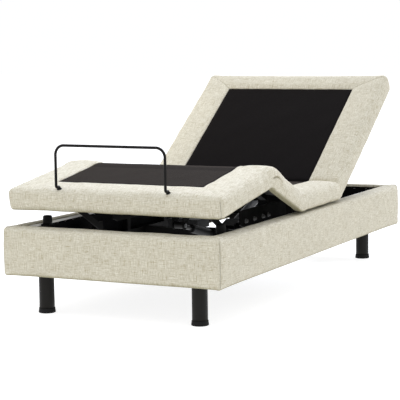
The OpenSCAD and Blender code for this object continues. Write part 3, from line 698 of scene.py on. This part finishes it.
def sewn(grid, last_soft, waves, depth):
    """A refined grid with small waves (height, seed, length) and its seams sunk in, over its soft rows."""
    soft = np.zeros(grid.shape[1])
    soft[4: 2 * last_soft] = 1
    ripple = sum(height * noise3(grid, seed, length) for height, seed, length in waves)
    return grid + outward_normals(grid) * (soft * (ripple - depth))[..., None]


def held(plan, rows, last_soft):
    """How firmly each point is held in the simulation: the inner edge, the underside and the seams."""
    pinned = np.zeros((len(plan[3]), rows))
    pinned[:, :3] = 1
    pinned[:, last_soft + 2:] = 1
    pinned[seam_stations(plan)] = 1
    return pinned


# ---- deck border
NEAR_HINGE = (0.0, 0.0025, 0.006, 0.01, 0.015, 0.022, 0.03, 0.04)


def cross_lines(first, last, step):
    """Places along the deck: the cuts, closer ones over each hinge, and the rest a step apart."""
    ys = [y for k in HINGES for y in CUTS[k]]
    ys += [HINGES[k][0] + side * away for k in HINGES for away in NEAR_HINGE for side in (-1, 1)]
    for y in np.arange(first, last, step):
        if min(abs(y - other) for other in ys) > step / 2:
            ys.append(float(y))
    return ys


deck_plan = plan_loop(
    DECK_W, DECK_Y0, DECK_Y1, 0.026, PANEL_W, PANEL_Y0, PANEL_Y1,
    cross_lines(DECK_Y0, DECK_Y1, 0.014), list(np.arange(-0.47, 0.471, 0.014)), 0.05,
)
DRAWN_T = 0.086  # the thickness that the rows below are drawn for
# the edge beside the black panel, and the crowned top
deck_rows = [("in", 1.0, -0.0115), ("in", 1.0, -0.0062), ("in", 0.992, -0.0034), ("in", 0.97, -0.0012)]
deck_rows += [("in", 0.93, 0.0004)]
for share in (0.84, 0.72, 0.58, 0.44, 0.3, 0.16):
    deck_rows.append(("in", share, 0.0004 + 0.0022 * math.sin(math.pi * (1 - share / 0.93) ** 0.8) ** 0.7))
deck_rows += quarter_over(REACH)
# the side, a little full
for z in (0.027, 0.034, 0.041, 0.048, 0.055, 0.062, 0.069, 0.076):
    deck_rows.append(("out", -0.0016 * math.sin(math.pi * (z - 0.02) / 0.056), -z))
deck_rows += quarter_under(0.01, -0.076)
# turned under, and back up round the board
deck_rows += [("out", 0.019, -0.0862), ("in", 0.06, -0.0862), ("in", 0.094, -0.085)]
deck_rows += [("in", 0.102, z) for z in (-0.081, -0.06, -0.036, -0.014)]
deck_rows += [("in", share, -0.0118) for share in (0.114, 0.3, 0.6, 0.9)]
deck_rows = [(mode, a, z * DECK_T / DRAWN_T if mode == "out" else z) for mode, a, z in deck_rows]
DECK_OUT = first_out(deck_rows)
DECK_SOFT = DECK_OUT + 17


def deck_border():
    flat = loop_surface(deck_plan, deck_rows, DECK_TOP)
    r = len(deck_rows)
    rows, y = np.arange(r), flat[..., 1]
    # a pinch over the head hinge and a slight dip over the thigh hinge, on the top only
    top = np.zeros(r)
    top[2:DECK_OUT + 1] = 1
    top[DECK_OUT + 1:DECK_OUT + 4] = 0.8, 0.45, 0.15
    flat[..., 2] -= top * (0.0065 * bell(y - HEAD_Y, 0.0065) + 0.0018 * bell(y - THIGH_Y, 0.016))
    flat[..., 2] += top * 0.0016 * bell(np.abs(y - HEAD_Y) - 0.018, 0.009)
    # the padding stands up beyond the knee
    puff = np.clip(1 - (rows - DECK_OUT - 3) / 5, 0, 1) * np.clip((rows - 2) / 6, 0, 1)
    flat[..., 2] += puff * 0.0085 * bell(y - KNEE_FLAT_Y - 0.062, 0.055)
    grid = bent(flat)
    pinned = held(deck_plan, r, DECK_SOFT)
    pinned[:, 3] = np.maximum(pinned[:, 3], 0.6)
    pinned[np.abs(deck_plan[0][:, 1] - HEAD_Y) < 0.003, :DECK_OUT + 3] = 0.8
    grid = simulate("deck_border_sim", grid, pinned, 0.0035)
    grid, flat = refine(grid), refine(flat)
    # the head end's seams run over the top as well, and are shallower
    side_rows = 2 * DECK_OUT + 6
    depth = seam_depth(deck_plan, 2 * r, (0.0022, 0.0014), (0, 0, side_rows, side_rows), (0.55, 0.55, 1, 1))
    grid = sewn(grid, DECK_SOFT, ((0.0007, 3, 0.11), (0.0004, 4, 0.05)), depth)
    return grid, weave_uv(flat, np.repeat(deck_plan[4], 2), DECK_W, DECK_Y0, DECK_Y1, 2 * DECK_OUT)


border, border_uv = deck_border()


def knee_crease():
    """A finer copy of the border where the foot section's side bulges over the thigh's in a rounded fold."""
    g, uv = refine(border), refine_uv(border_uv)
    n = outward_normals(g)
    # distance and direction from the middle of the fold, which is an ellipse of radius 1 here
    u, v = (g[..., 1] - KNEE_Y - 0.022) / 0.06, (g[..., 2] - KNEE_Z - 0.001) / 0.034
    rho, a = np.hypot(u, v), np.degrees(np.arctan2(v, u))
    window = smooth((a + 38) / 34) * smooth((128 - a) / 34)
    side = np.abs(n[..., 0]) ** 2 * (np.abs(g[..., 0]) > DECK_W - 0.02)
    fold = -0.008 * bell(rho - 1.0, 0.08) + 0.003 * bell(rho - 0.8, 0.13) + 0.002 * bell(rho - 1.21, 0.09)
    return g + n * (fold * window * side)[..., None], uv


creased, creased_uv = knee_crease()

(head0, head1), (thigh0, thigh1), (knee0, knee1) = CUTS["head"], CUTS["thigh"], CUTS["knee"]
# the soft goods along the bed, in stretches that lie on a body or fold over the hinge they are named after
STRETCHES = (
    ("foot", -math.inf, knee0, "foot_section"), ("knee", knee0, knee1, None),
    ("thigh", knee1, thigh0, "thigh_section"), ("thigh", thigh0, thigh1, None),
    ("seat", thigh1, head0, "base"), ("head", head0, head1, None), ("head", head1, math.inf, "head_section"),
)


def finish_stretch(obj, part, body, node):
    hinge, stands = (None, part + node) if body else (part, None)
    finish_piece(obj, body, hinge, stands)


def border_runs(y0, y1):
    """The runs of refined stations between two places, on the right side and the left, or round an end."""
    right, left = ([2 * station(deck_plan, side, y) for y in (y0, y1)] for side in (1, -1))
    if y0 == -math.inf:
        return [(left[1], right[1])]
    if y1 == math.inf:
        return [(right[0], left[0])]
    return [(right[0], right[1]), (left[1], left[0])]


for part, y0, y1, body in STRETCHES:
    name, runs = part + ("_border" if body else "_fold"), border_runs(y0, y1)
    if name in ("knee_fold", "thigh_border"):
        obj = cut(name, creased, creased_uv, [(2 * a, 2 * b) for a, b in runs], LINEN)
    else:
        obj = cut(name, border, border_uv, runs, LINEN)
    finish_stretch(obj, part, body, "_cover")


# ---- black panels
PANEL_EDGE = (-0.004, -0.001, 0.004)  # lines beyond, at and inside the edge, where the cloth turns down
PANEL_STEP = 0.016
PANEL_SHARP = math.radians(50)


def edge_lines(low, high):
    return [low + d for d in PANEL_EDGE] + [high - d for d in PANEL_EDGE]


def panel_grid():
    """The top of all the panels as one flat grid, and its places along the bed."""
    xs = sorted(edge_lines(-PANEL_W, PANEL_W) + list(np.linspace(PANEL_STEP - PANEL_W, PANEL_W - PANEL_STEP, 44)))
    ys = cross_lines(PANEL_Y0 + PANEL_STEP, PANEL_Y1 - 0.014, PANEL_STEP) + edge_lines(PANEL_Y0, PANEL_Y1)
    ys = np.array(sorted(set(ys)))
    x, y = np.meshgrid(xs, ys, indexing="ij")
    edge = np.minimum(np.minimum(PANEL_W - np.abs(x), y - PANEL_Y0), PANEL_Y1 - y)
    sunk = np.clip(1 - (edge + 0.001) / 0.006, 0, 1)
    p = np.stack([x, y, np.zeros_like(x)], -1)
    z = -0.0036 - 0.0026 * sunk + 0.0003 * noise3(p, 9, 0.15)
    z -= 0.003 * bell(y - HEAD_Y, 0.008) + 0.001 * bell(y - THIGH_Y, 0.014)
    p[..., 2] = DECK_TOP + z
    return p, ys


panel, panel_y = panel_grid()


def panel_piece(name, y0, y1):
    """A closed slab of the panel cloth between two places along the bed."""
    stretch = np.flatnonzero((panel_y >= y0 - 1e-6) & (panel_y <= y1 + 1e-6))
    top = panel[:, stretch]
    low = top.copy()
    low[..., 2] = DECK_TOP - 0.0112
    n, m = top.shape[:2]
    verts = np.concatenate([bent(top).reshape(-1, 3), bent(low).reshape(-1, 3)])
    uv = np.concatenate([top[..., :2].reshape(-1, 2), low[..., :2].reshape(-1, 2)])
    faces = grid_faces(n, m) + [tuple(n * m + v for v in f) for f in grid_faces(n, m, flip=True)]
    ring = list(range(m)) + [k * m + m - 1 for k in range(1, n)]
    ring += [(n - 1) * m + k for k in range(m - 2, -1, -1)] + [k * m for k in range(n - 2, 0, -1)]
    faces += [(a, b, n * m + b, n * m + a) for a, b in zip(ring, ring[1:] + ring[:1])]
    return tidy(new_object(name, verts, faces, uv, PANEL), PANEL_SHARP)


for part, y0, y1, body in STRETCHES:
    obj = panel_piece(part + ("_panel_cloth" if body else "_panel_fold"), y0, y1)
    finish_stretch(obj, part, body, "_panel")


# ---- surround
RAIL = 0.062  # how thick a rail is with its cloth
BASE_H = BASE_Z1 - BASE_Z0
BASE_OVER, BASE_UNDER = 0.017, 0.012  # how round the upper and lower edges are
base_plan = plan_loop(
    BASE_W, -BASE_Y, BASE_Y, 0.01, BASE_W - RAIL, -BASE_Y + RAIL, BASE_Y - RAIL,
    list(np.arange(-1.02, 1.021, 0.025)), list(np.arange(-0.475, 0.476, 0.025)), 0.03,
)
base_rows = [("in", 1.0, -0.0105), ("in", 1.0, -0.007), ("in", 0.985, -0.0035), ("in", 0.94, -0.001)]
base_rows += [("in", 0.86, 0.0002), ("in", 0.66, 0.0012), ("in", 0.42, 0.0016), ("in", 0.2, 0.001)]
base_rows += quarter_over(BASE_OVER)
for t in (0.07, 0.16, 0.27, 0.38, 0.5, 0.62, 0.73, 0.84, 0.93, 1.0):
    low = -BASE_OVER - t * (BASE_H - BASE_OVER - BASE_UNDER)
    base_rows.append(("out", -0.0022 * math.sin(math.pi * t) ** 0.7, low))
base_rows += quarter_under(BASE_UNDER, BASE_UNDER - BASE_H)
base_rows += [("in", 0.05, -BASE_H), ("in", 0.4, -BASE_H), ("in", 0.86, 0.0005 - BASE_H)]
base_rows += [("in", 0.893, 0.006 - BASE_H), ("in", 0.893, -0.1), ("in", 0.893, -0.016), ("in", 0.94, -0.0122)]
BASE_OUT = first_out(base_rows)
BASE_SOFT = BASE_OUT + 17


def surround():
    grid = flat = loop_surface(base_plan, base_rows, BASE_Z1)
    grid = simulate("surround_sim", grid, held(base_plan, len(base_rows), BASE_SOFT), 0.003)
    grid, flat = refine(grid), refine(flat)
    depth = seam_depth(base_plan, 2 * len(base_rows), (0.0018, 0.0012))
    grid = sewn(grid, BASE_SOFT, ((0.0009, 13, 0.16), (0.0004, 14, 0.06)), depth)
    return grid, weave_uv(flat, np.repeat(base_plan[4], 2), BASE_W, -BASE_Y, BASE_Y, 2 * BASE_OUT)


base_grid, base_uv = surround()
head_right, head_left, foot_left, foot_right = (int(2 * s) for s in seam_stations(base_plan))
for rail, first, last in (
    ("right_rail", foot_right, head_right), ("head_rail", head_right, head_left),
    ("left_rail", head_left, foot_left), ("foot_rail", foot_left, foot_right),
):
    obj = cut(rail + "_fabric", base_grid, base_uv, [(first, last)], LINEN)
    finish_piece(obj, body="base", stands=rail + "_cover")


# ---- topstitching down the sewn corners
STITCHED = slice(9, 33)  # the stretch of refined rows, counted from the first on the outside


def corner_stitch(name, grid, seam, rows_out, body):
    """A raised run of thread along a corner seam, from the rounded upper edge to the lower one."""
    line = grid[seam, 2 * rows_out:][STITCHED]
    finish_piece(tidy(tube(name, line, 0.0014, THREAD, 8)), body=body)


for side, seam in zip(("left", "right"), seam_stations(deck_plan)[2:]):
    corner_stitch("foot_corner_stitch_" + side, border, 2 * seam, DECK_OUT, "foot_section")
for side, seam in zip(("left", "right"), seam_stations(base_plan)[2:]):
    corner_stitch("surround_corner_stitch_" + side, base_grid, 2 * seam, BASE_OUT, "base")


# ---- lining cloth inside the surround
LINING_LO, LINING_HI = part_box("inner_lining")
CLOTH = 0.0014
HEM, HEM_DEPTH = 0.0012, 0.018
STAPLE_GAP = 0.06


def inner_outline(step):
    """Points round the inside of the rails with its rounded corners, and the direction inward from each."""
    w, l, r = BASE_W - RAIL, BASE_Y - RAIL, 0.006
    arc = [(math.cos(a), math.sin(a)) for a in np.radians([0, 22.5, 45, 67.5, 90])]
    line = []
    for sx, sy in ((1, 1), (-1, 1), (-1, -1), (1, -1)):
        turned = arc if sx * sy > 0 else arc[::-1]
        line += [(sx * (w - r + r * abs(cos)), sy * (l - r + r * abs(sin))) for cos, sin in turned]
    dense = []
    for a, b in zip(line, line[1:] + line[:1]):
        n = max(1, round(math.dist(a, b) / step))
        dense += [(a[0] + (b[0] - a[0]) * i / n, a[1] + (b[1] - a[1]) * i / n) for i in range(n)]
    xy = np.array(dense)
    t = np.roll(xy, -1, 0) - np.roll(xy, 1, 0)
    t /= np.linalg.norm(t, axis=1)[:, None]
    return xy, np.stack([-t[:, 1], t[:, 0]], 1)


def lining_cloth(xy, inward):
    """A band of thin cloth, stapled along its top edge and hanging down the inside of the rails."""
    run = np.concatenate([[0], np.cumsum(np.linalg.norm(np.diff(xy, axis=0), axis=1))])
    girth = run[-1] + np.linalg.norm(xy[0] - xy[-1])
    drop = LINING_HI.z - LINING_LO.z
    depth = [0.0, 0.003, 0.007, 0.012, 0.017, 0.019, 0.022, 0.03, 0.042, 0.058, 0.078, 0.1, 0.12, 0.14, 0.155]
    depth = [d for d in depth if d < drop - 0.012] + [drop - 0.01, drop - 0.004, drop]
    staple = np.cos(run * 2 * math.pi * round(girth / STAPLE_GAP) / girth)
    face = np.zeros((len(xy), len(depth), 3))
    for j, d in enumerate(depth):
        hem = HEM if d < HEM_DEPTH else 0.0
        pull = 0.0007 * staple * math.exp(-((d - 0.01) / 0.01) ** 2)
        p = np.stack([xy[:, 0], xy[:, 1], np.full(len(xy), d)], 1)
        sag = 0.0011 * min(1, d / 0.05) * noise3(p, 21, 0.14) + 0.0005 * min(1, d / 0.03) * noise3(p, 22, 0.05)
        face[:, j, :2] = xy + inward * (hem - pull + sag - HEM)[:, None]
        face[:, j, 2] = LINING_HI.z - d - 0.0006 * (staple < -0.2) * (d == 0)
    back = face.copy()
    back[..., :2] -= inward[:, None, :] * CLOTH
    n, m = face.shape[:2]
    verts = np.concatenate([face, back[:, ::-1]], 1)
    uv = np.stack([np.repeat(run[:, None], 2 * m, 1), verts[..., 2]], -1)
    faces = grid_faces(n, 2 * m, True, True)
    obj = tidy(new_object("lining_cloth", verts.reshape(-1, 3), faces, uv.reshape(-1, 2), LINING))
    finish_piece(obj, body="base", stands="inner_lining")


def wire_staples(xy, inward):
    """Wire staples through the hem, one at every sixth point."""
    wire, up, sides = 0.0005, Vector((0, 0, 1)), 6
    verts, faces = [], []
    for i in range(0, len(xy), 6):
        p = Vector((*(xy[i] + inward[i] * 0.0006), LINING_HI.z - 0.009))
        out = Vector((*inward[i], 0))
        along = up.cross(out)
        crown = ((-0.005, -0.002), (-0.005, 0.0002), (-0.0044, 0.0007))
        crown += tuple((-a, b) for a, b in reversed(crown))
        base = len(verts)
        for (a, b), ahead in zip(crown, (out, out, along, along, out, out)):
            q, v = p + along * a + out * b, ahead.cross(up).normalized()
            turns = np.radians(range(0, 360, 360 // sides))
            verts += [q + (up * math.cos(t) + v * math.sin(t)) * wire for t in turns]
        faces += [tuple(base + k for k in f) for f in ring_faces(len(crown), sides)]
    staples = tidy(new_object("lining_staples", verts, faces, None, BRIGHT))
    finish_piece(staples, body="base")


outline, outline_inward = inner_outline(0.01)
lining_cloth(outline, outline_inward)
wire_staples(outline, outline_inward)


# ---- retainer bar and its sockets
BAR_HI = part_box("retainer_bar")[1]
BAR_R = 0.0055
BAR_X, BAR_Z = BAR_HI.x - BAR_R, BAR_HI.z - BAR_R
UP = np.array([0.0, -math.sin(FOOT_A), math.cos(FOOT_A)])  # away from the foot section's top at rest
at_bar = bent(np.array([0.0, DECK_Y0 + 0.006, DECK_TOP]))
at_hole = bent(np.array([0.0, DECK_Y0 + 0.029, DECK_TOP]))


def half_bar(sign):
    """One side of the bar, from its end in the socket round two elbows to its upper corner."""
    side = np.array([sign * BAR_X, 0, 0])
    elbow = at_bar + UP * 0.012 + side
    return [at_hole - UP * 0.01 + side, at_hole + UP * 0.012 + side, elbow, np.array([*elbow[:2], BAR_Z])]


def evenly(line, step):
    """A path with more points, so that no two are much further apart than a step."""
    dense = [line[0]]
    for a, b in zip(line, line[1:]):
        n = max(1, int(np.linalg.norm(b - a) / step))
        dense += [a + (b - a) * k / n for k in range(1, n + 1)]
    return dense


line = rounded_path(half_bar(-1) + half_bar(1)[::-1], [0.0075, 0.0085, 0.038, 0.038, 0.0085, 0.0075], 0.0022)
bar = tidy(tube("mattress_bar", evenly(line, 0.012), BAR_R, BAR_STEEL, 20))
finish_piece(bar, body="foot_section", stands="retainer_bar")


def from_mm(profile, r=0.0, z=0.0):
    """A turned profile that is given in millimetres from a radius and a height."""
    return [(r + a / 1000, z + b / 1000) for a, b in profile]


GROMMET = (
    (6.2, -11), (8.8, -11), (8.8, -0.5), (10.5, 0), (11.2, 0.9), (10.8, 1.9), (9.2, 2.6), (8.8, 4.2), (8.1, 5.6),
    (7.0, 6.2), (6.0, 6.0), (5.8, 4.8), (6.0, -2),
)
for sign, side, stands in ((-1, "left", None), (1, "right", "bar_sockets")):
    grommet = lathe("bar_grommet_" + side, from_mm(GROMMET), (0, 0, 0), RUBBER, 40)
    place = Matrix.Translation(Vector(at_hole) + Vector((sign * BAR_X, 0, 0)))
    grommet.data.transform(place @ Matrix.Rotation(FOOT_A, 4, "X"))
    finish_piece(tidy(grommet), body="foot_section", stands=stands)


# ---- legs, feet and bumpers
FOOT = (  # how far each ring stands out from the leg, and its height
    (-6, 0), (1.2, 0), (2.6, 0.6), (3.4, 2), (3.5, 4), (3.2, 7.5), (2.4, 11), (2, 14.5), (2, 18.5), (1.4, 19.8),
    (0.2, 20.3), (-4, 20.6),
)
LEG_LOW, LEG_TOP = ((-2.5, 21), (-0.8, 20.5), (0, 21.5), (0, 60), (0, 110), (0, 150)), ((0, -2), (-1.2, -0.2), (-4, 0))
for name in ("foot_left_leg", "foot_right_leg", "head_left_leg", "head_right_leg"):
    lo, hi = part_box(name)
    at = ((lo.x + hi.x) / 2, (lo.y + hi.y) / 2, 0)
    r = (hi.x - lo.x) / 2
    leg = tidy(lathe(name + "_tube", from_mm(LEG_LOW, r) + from_mm(LEG_TOP, r, hi.z), at, BLACK_STEEL, 64))
    finish_piece(leg, body="base", stands=name)
    foot = tidy(lathe(name + "_foot", from_mm(FOOT, r), at, RUBBER, 64))
    finish_piece(foot, body="base", stands="leg_feet" if name == "foot_left_leg" else None)

BUMP_LO, BUMP_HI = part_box("rubber_bumpers")
BUMP_R, BUMP_H = 0.019, BUMP_HI.z - BUMP_LO.z
BUMPER_LOW = ((-4, 0), (-1, 0.6), (0, 3))
BUMPER_TOP = (
    (-0.2, -5.5), (-1, -2.8), (-2.8, -1), (-5.5, -0.2), (-9, 0), (-14.5, -0.4), (-15.2, -1.8), (-15.4, -6),
)
BUMPER = from_mm(BUMPER_LOW, BUMP_R) + [(BUMP_R, BUMP_H / 3), (BUMP_R + 0.0004, BUMP_H / 2), (BUMP_R, 2 * BUMP_H / 3)]
BUMPER += from_mm(BUMPER_TOP, BUMP_R, BUMP_H)
BUMP_Y = (BUMP_LO.y + BUMP_HI.y) / 2
for side, x, stands in (("left", BUMP_LO.x + BUMP_R, None), ("right", BUMP_HI.x - BUMP_R, "rubber_bumpers")):
    bumper = tidy(lathe("bumper_" + side, BUMPER, (x, BUMP_Y, BUMP_LO.z), RUBBER, 56))
    finish_piece(bumper, body="base", stands=stands)


# ---- bolts through the plates beside the seat
PLATE_X = max(v.co.x for v in frame["nodes"]["seat_posts"].data.vertices if v.co.y < THIGH_Y - 0.1)
BOLT_Y, BOLT_Z = (-0.176, -0.234, -0.321, -0.407), 0.338
BOLT_HEAD = (  # a washer, then a domed head
    (9.8, 0), (10.2, 0.4), (10.2, 1.4), (9.8, 1.8), (6.8, 1.8), (6.2, 2.2), (6.4, 3), (6.8, 4), (6.8, 8.5),
    (6.2, 9.6), (5, 10.8), (3.4, 11.7), (1.6, 12.2),
)
for sign, side in ((-1, "left"), (1, "right")):
    for i, y in enumerate(BOLT_Y):
        bolt = lathe(f"plate_bolt_{side}_{i + 1}", from_mm(BOLT_HEAD), (0, 0, 0), BOLT, 36)
        bolt.data.transform(Matrix.Rotation(sign * math.pi / 2, 4, "Y"))
        bolt.data.transform(Matrix.Translation((sign * PLATE_X, y, BOLT_Z)))
        finish_piece(tidy(bolt), body="base")


# ---- materials of the CAD nodes that stay
LOOKS = (
    (RAIL_WOOD, "rail_boards"),
    (PALE_WOOD, "ledger_strips"),
    (DECK_WOOD, "seat_board head_board thigh_board foot_board"),
    (PLASTIC, "power_inlet head_motor leg_motor control_box power_supply head_gearbox leg_gearbox leg_outer_tube"),
    (GREY, "head_outer_tube"),
    (BRIGHT, "leg_studs actuator_base_pins head_hinge_pins thigh_hinge_pins"),
    (BRIGHT, "head_lever_pin thigh_lever_pin knee_hinge_pins"),
    (ROD_STEEL, "head_rod leg_rod"),
)
look_of = {name: look for look, names in LOOKS for name in names.split()}
for name, node in frame["nodes"].items():
    node.data.materials.clear()
    node.data.materials.append(look_of.get(name, FRAME_STEEL))
    node.data.polygons.foreach_set("material_index", [0] * len(node.data.polygons))


# ---- floor, light and camera
bpy.ops.mesh.primitive_plane_add(size=60, location=(0, 0, 0))
floor = bpy.context.object
floor.name = "floor"
pale = Shader("pale_floor", (0.42, 0.42, 0.42), 0.9, gloss=0.1)
pale.set(Emission_Color=(1, 1, 1, 1), Emission_Strength=0.84)
floor.data.materials.append(pale.material)

world = bpy.data.worlds.new("studio")
bpy.context.scene.world = world
world.use_nodes = True
background = world.node_tree.nodes["Background"].inputs
background["Color"].default_value = (1, 1.005, 1.02, 1)
background["Strength"].default_value = 1.0


def softbox(name, at, target, size, power, color, spread=180):
    light = bpy.data.lights.new(name, "AREA")
    light.shape = "RECTANGLE"
    light.size, light.size_y = size
    light.energy = power
    light.color = color
    light.spread = math.radians(spread)
    o = bpy.data.objects.new(name, light)
    o.location = at
    o.rotation_euler = (Vector(target) - Vector(at)).to_track_quat("-Z", "Y").to_euler()
    bpy.context.scene.collection.objects.link(o)


softbox("key_softbox", (0.6, 5.0, 6.0), (0, 0, 0.4), (4.0, 4.0), 400, (0.92, 0.98, 1.18))
softbox("left_softbox", (-4.5, -2.2, 2.4), (0, -0.4, 0.35), (2.5, 2.5), 27, (1.0, 0.99, 0.96))
softbox("head_softbox", (-1.6, -0.2, 1.7), (-0.42, 0.58, 0.6), (0.7, 0.7), 1.3, (1.0, 0.98, 0.98), 60)
softbox("foot_softbox", (0.0, -0.85, 2.4), (0, -0.85, 0.4), (1.4, 1.0), 2.8, (0.92, 0.99, 1.2), 60)

# the camera, fitted to the photograph's view, with its focal length in pixels
CAMERA_AT = (2.7898, -5.8525, 1.1103)
AZIMUTH, ELEVATION, ROLL = (math.radians(a) for a in (26.3468, 6.5061, -0.7486))
FOCAL, WIDTH = 1454.82, 400
cam = bpy.data.cameras.new("camera")
cam.sensor_width = 36.0
cam.lens = FOCAL / WIDTH * 36.0
cam.clip_end = 200
cam_obj = bpy.data.objects.new("camera", cam)
bpy.context.scene.collection.objects.link(cam_obj)
bpy.context.scene.camera = cam_obj
level = math.cos(ELEVATION)
back = Vector((math.sin(AZIMUTH) * level, -math.cos(AZIMUTH) * level, math.sin(ELEVATION)))
right = Vector((0, 0, 1)).cross(back).normalized()
facing = Matrix((right, back.cross(right), back)).transposed().to_4x4()
cam_obj.matrix_world = Matrix.Translation(CAMERA_AT) @ facing @ Matrix.Rotation(ROLL, 4, "Z")
bpy.context.scene.view_settings.view_transform = "Standard"
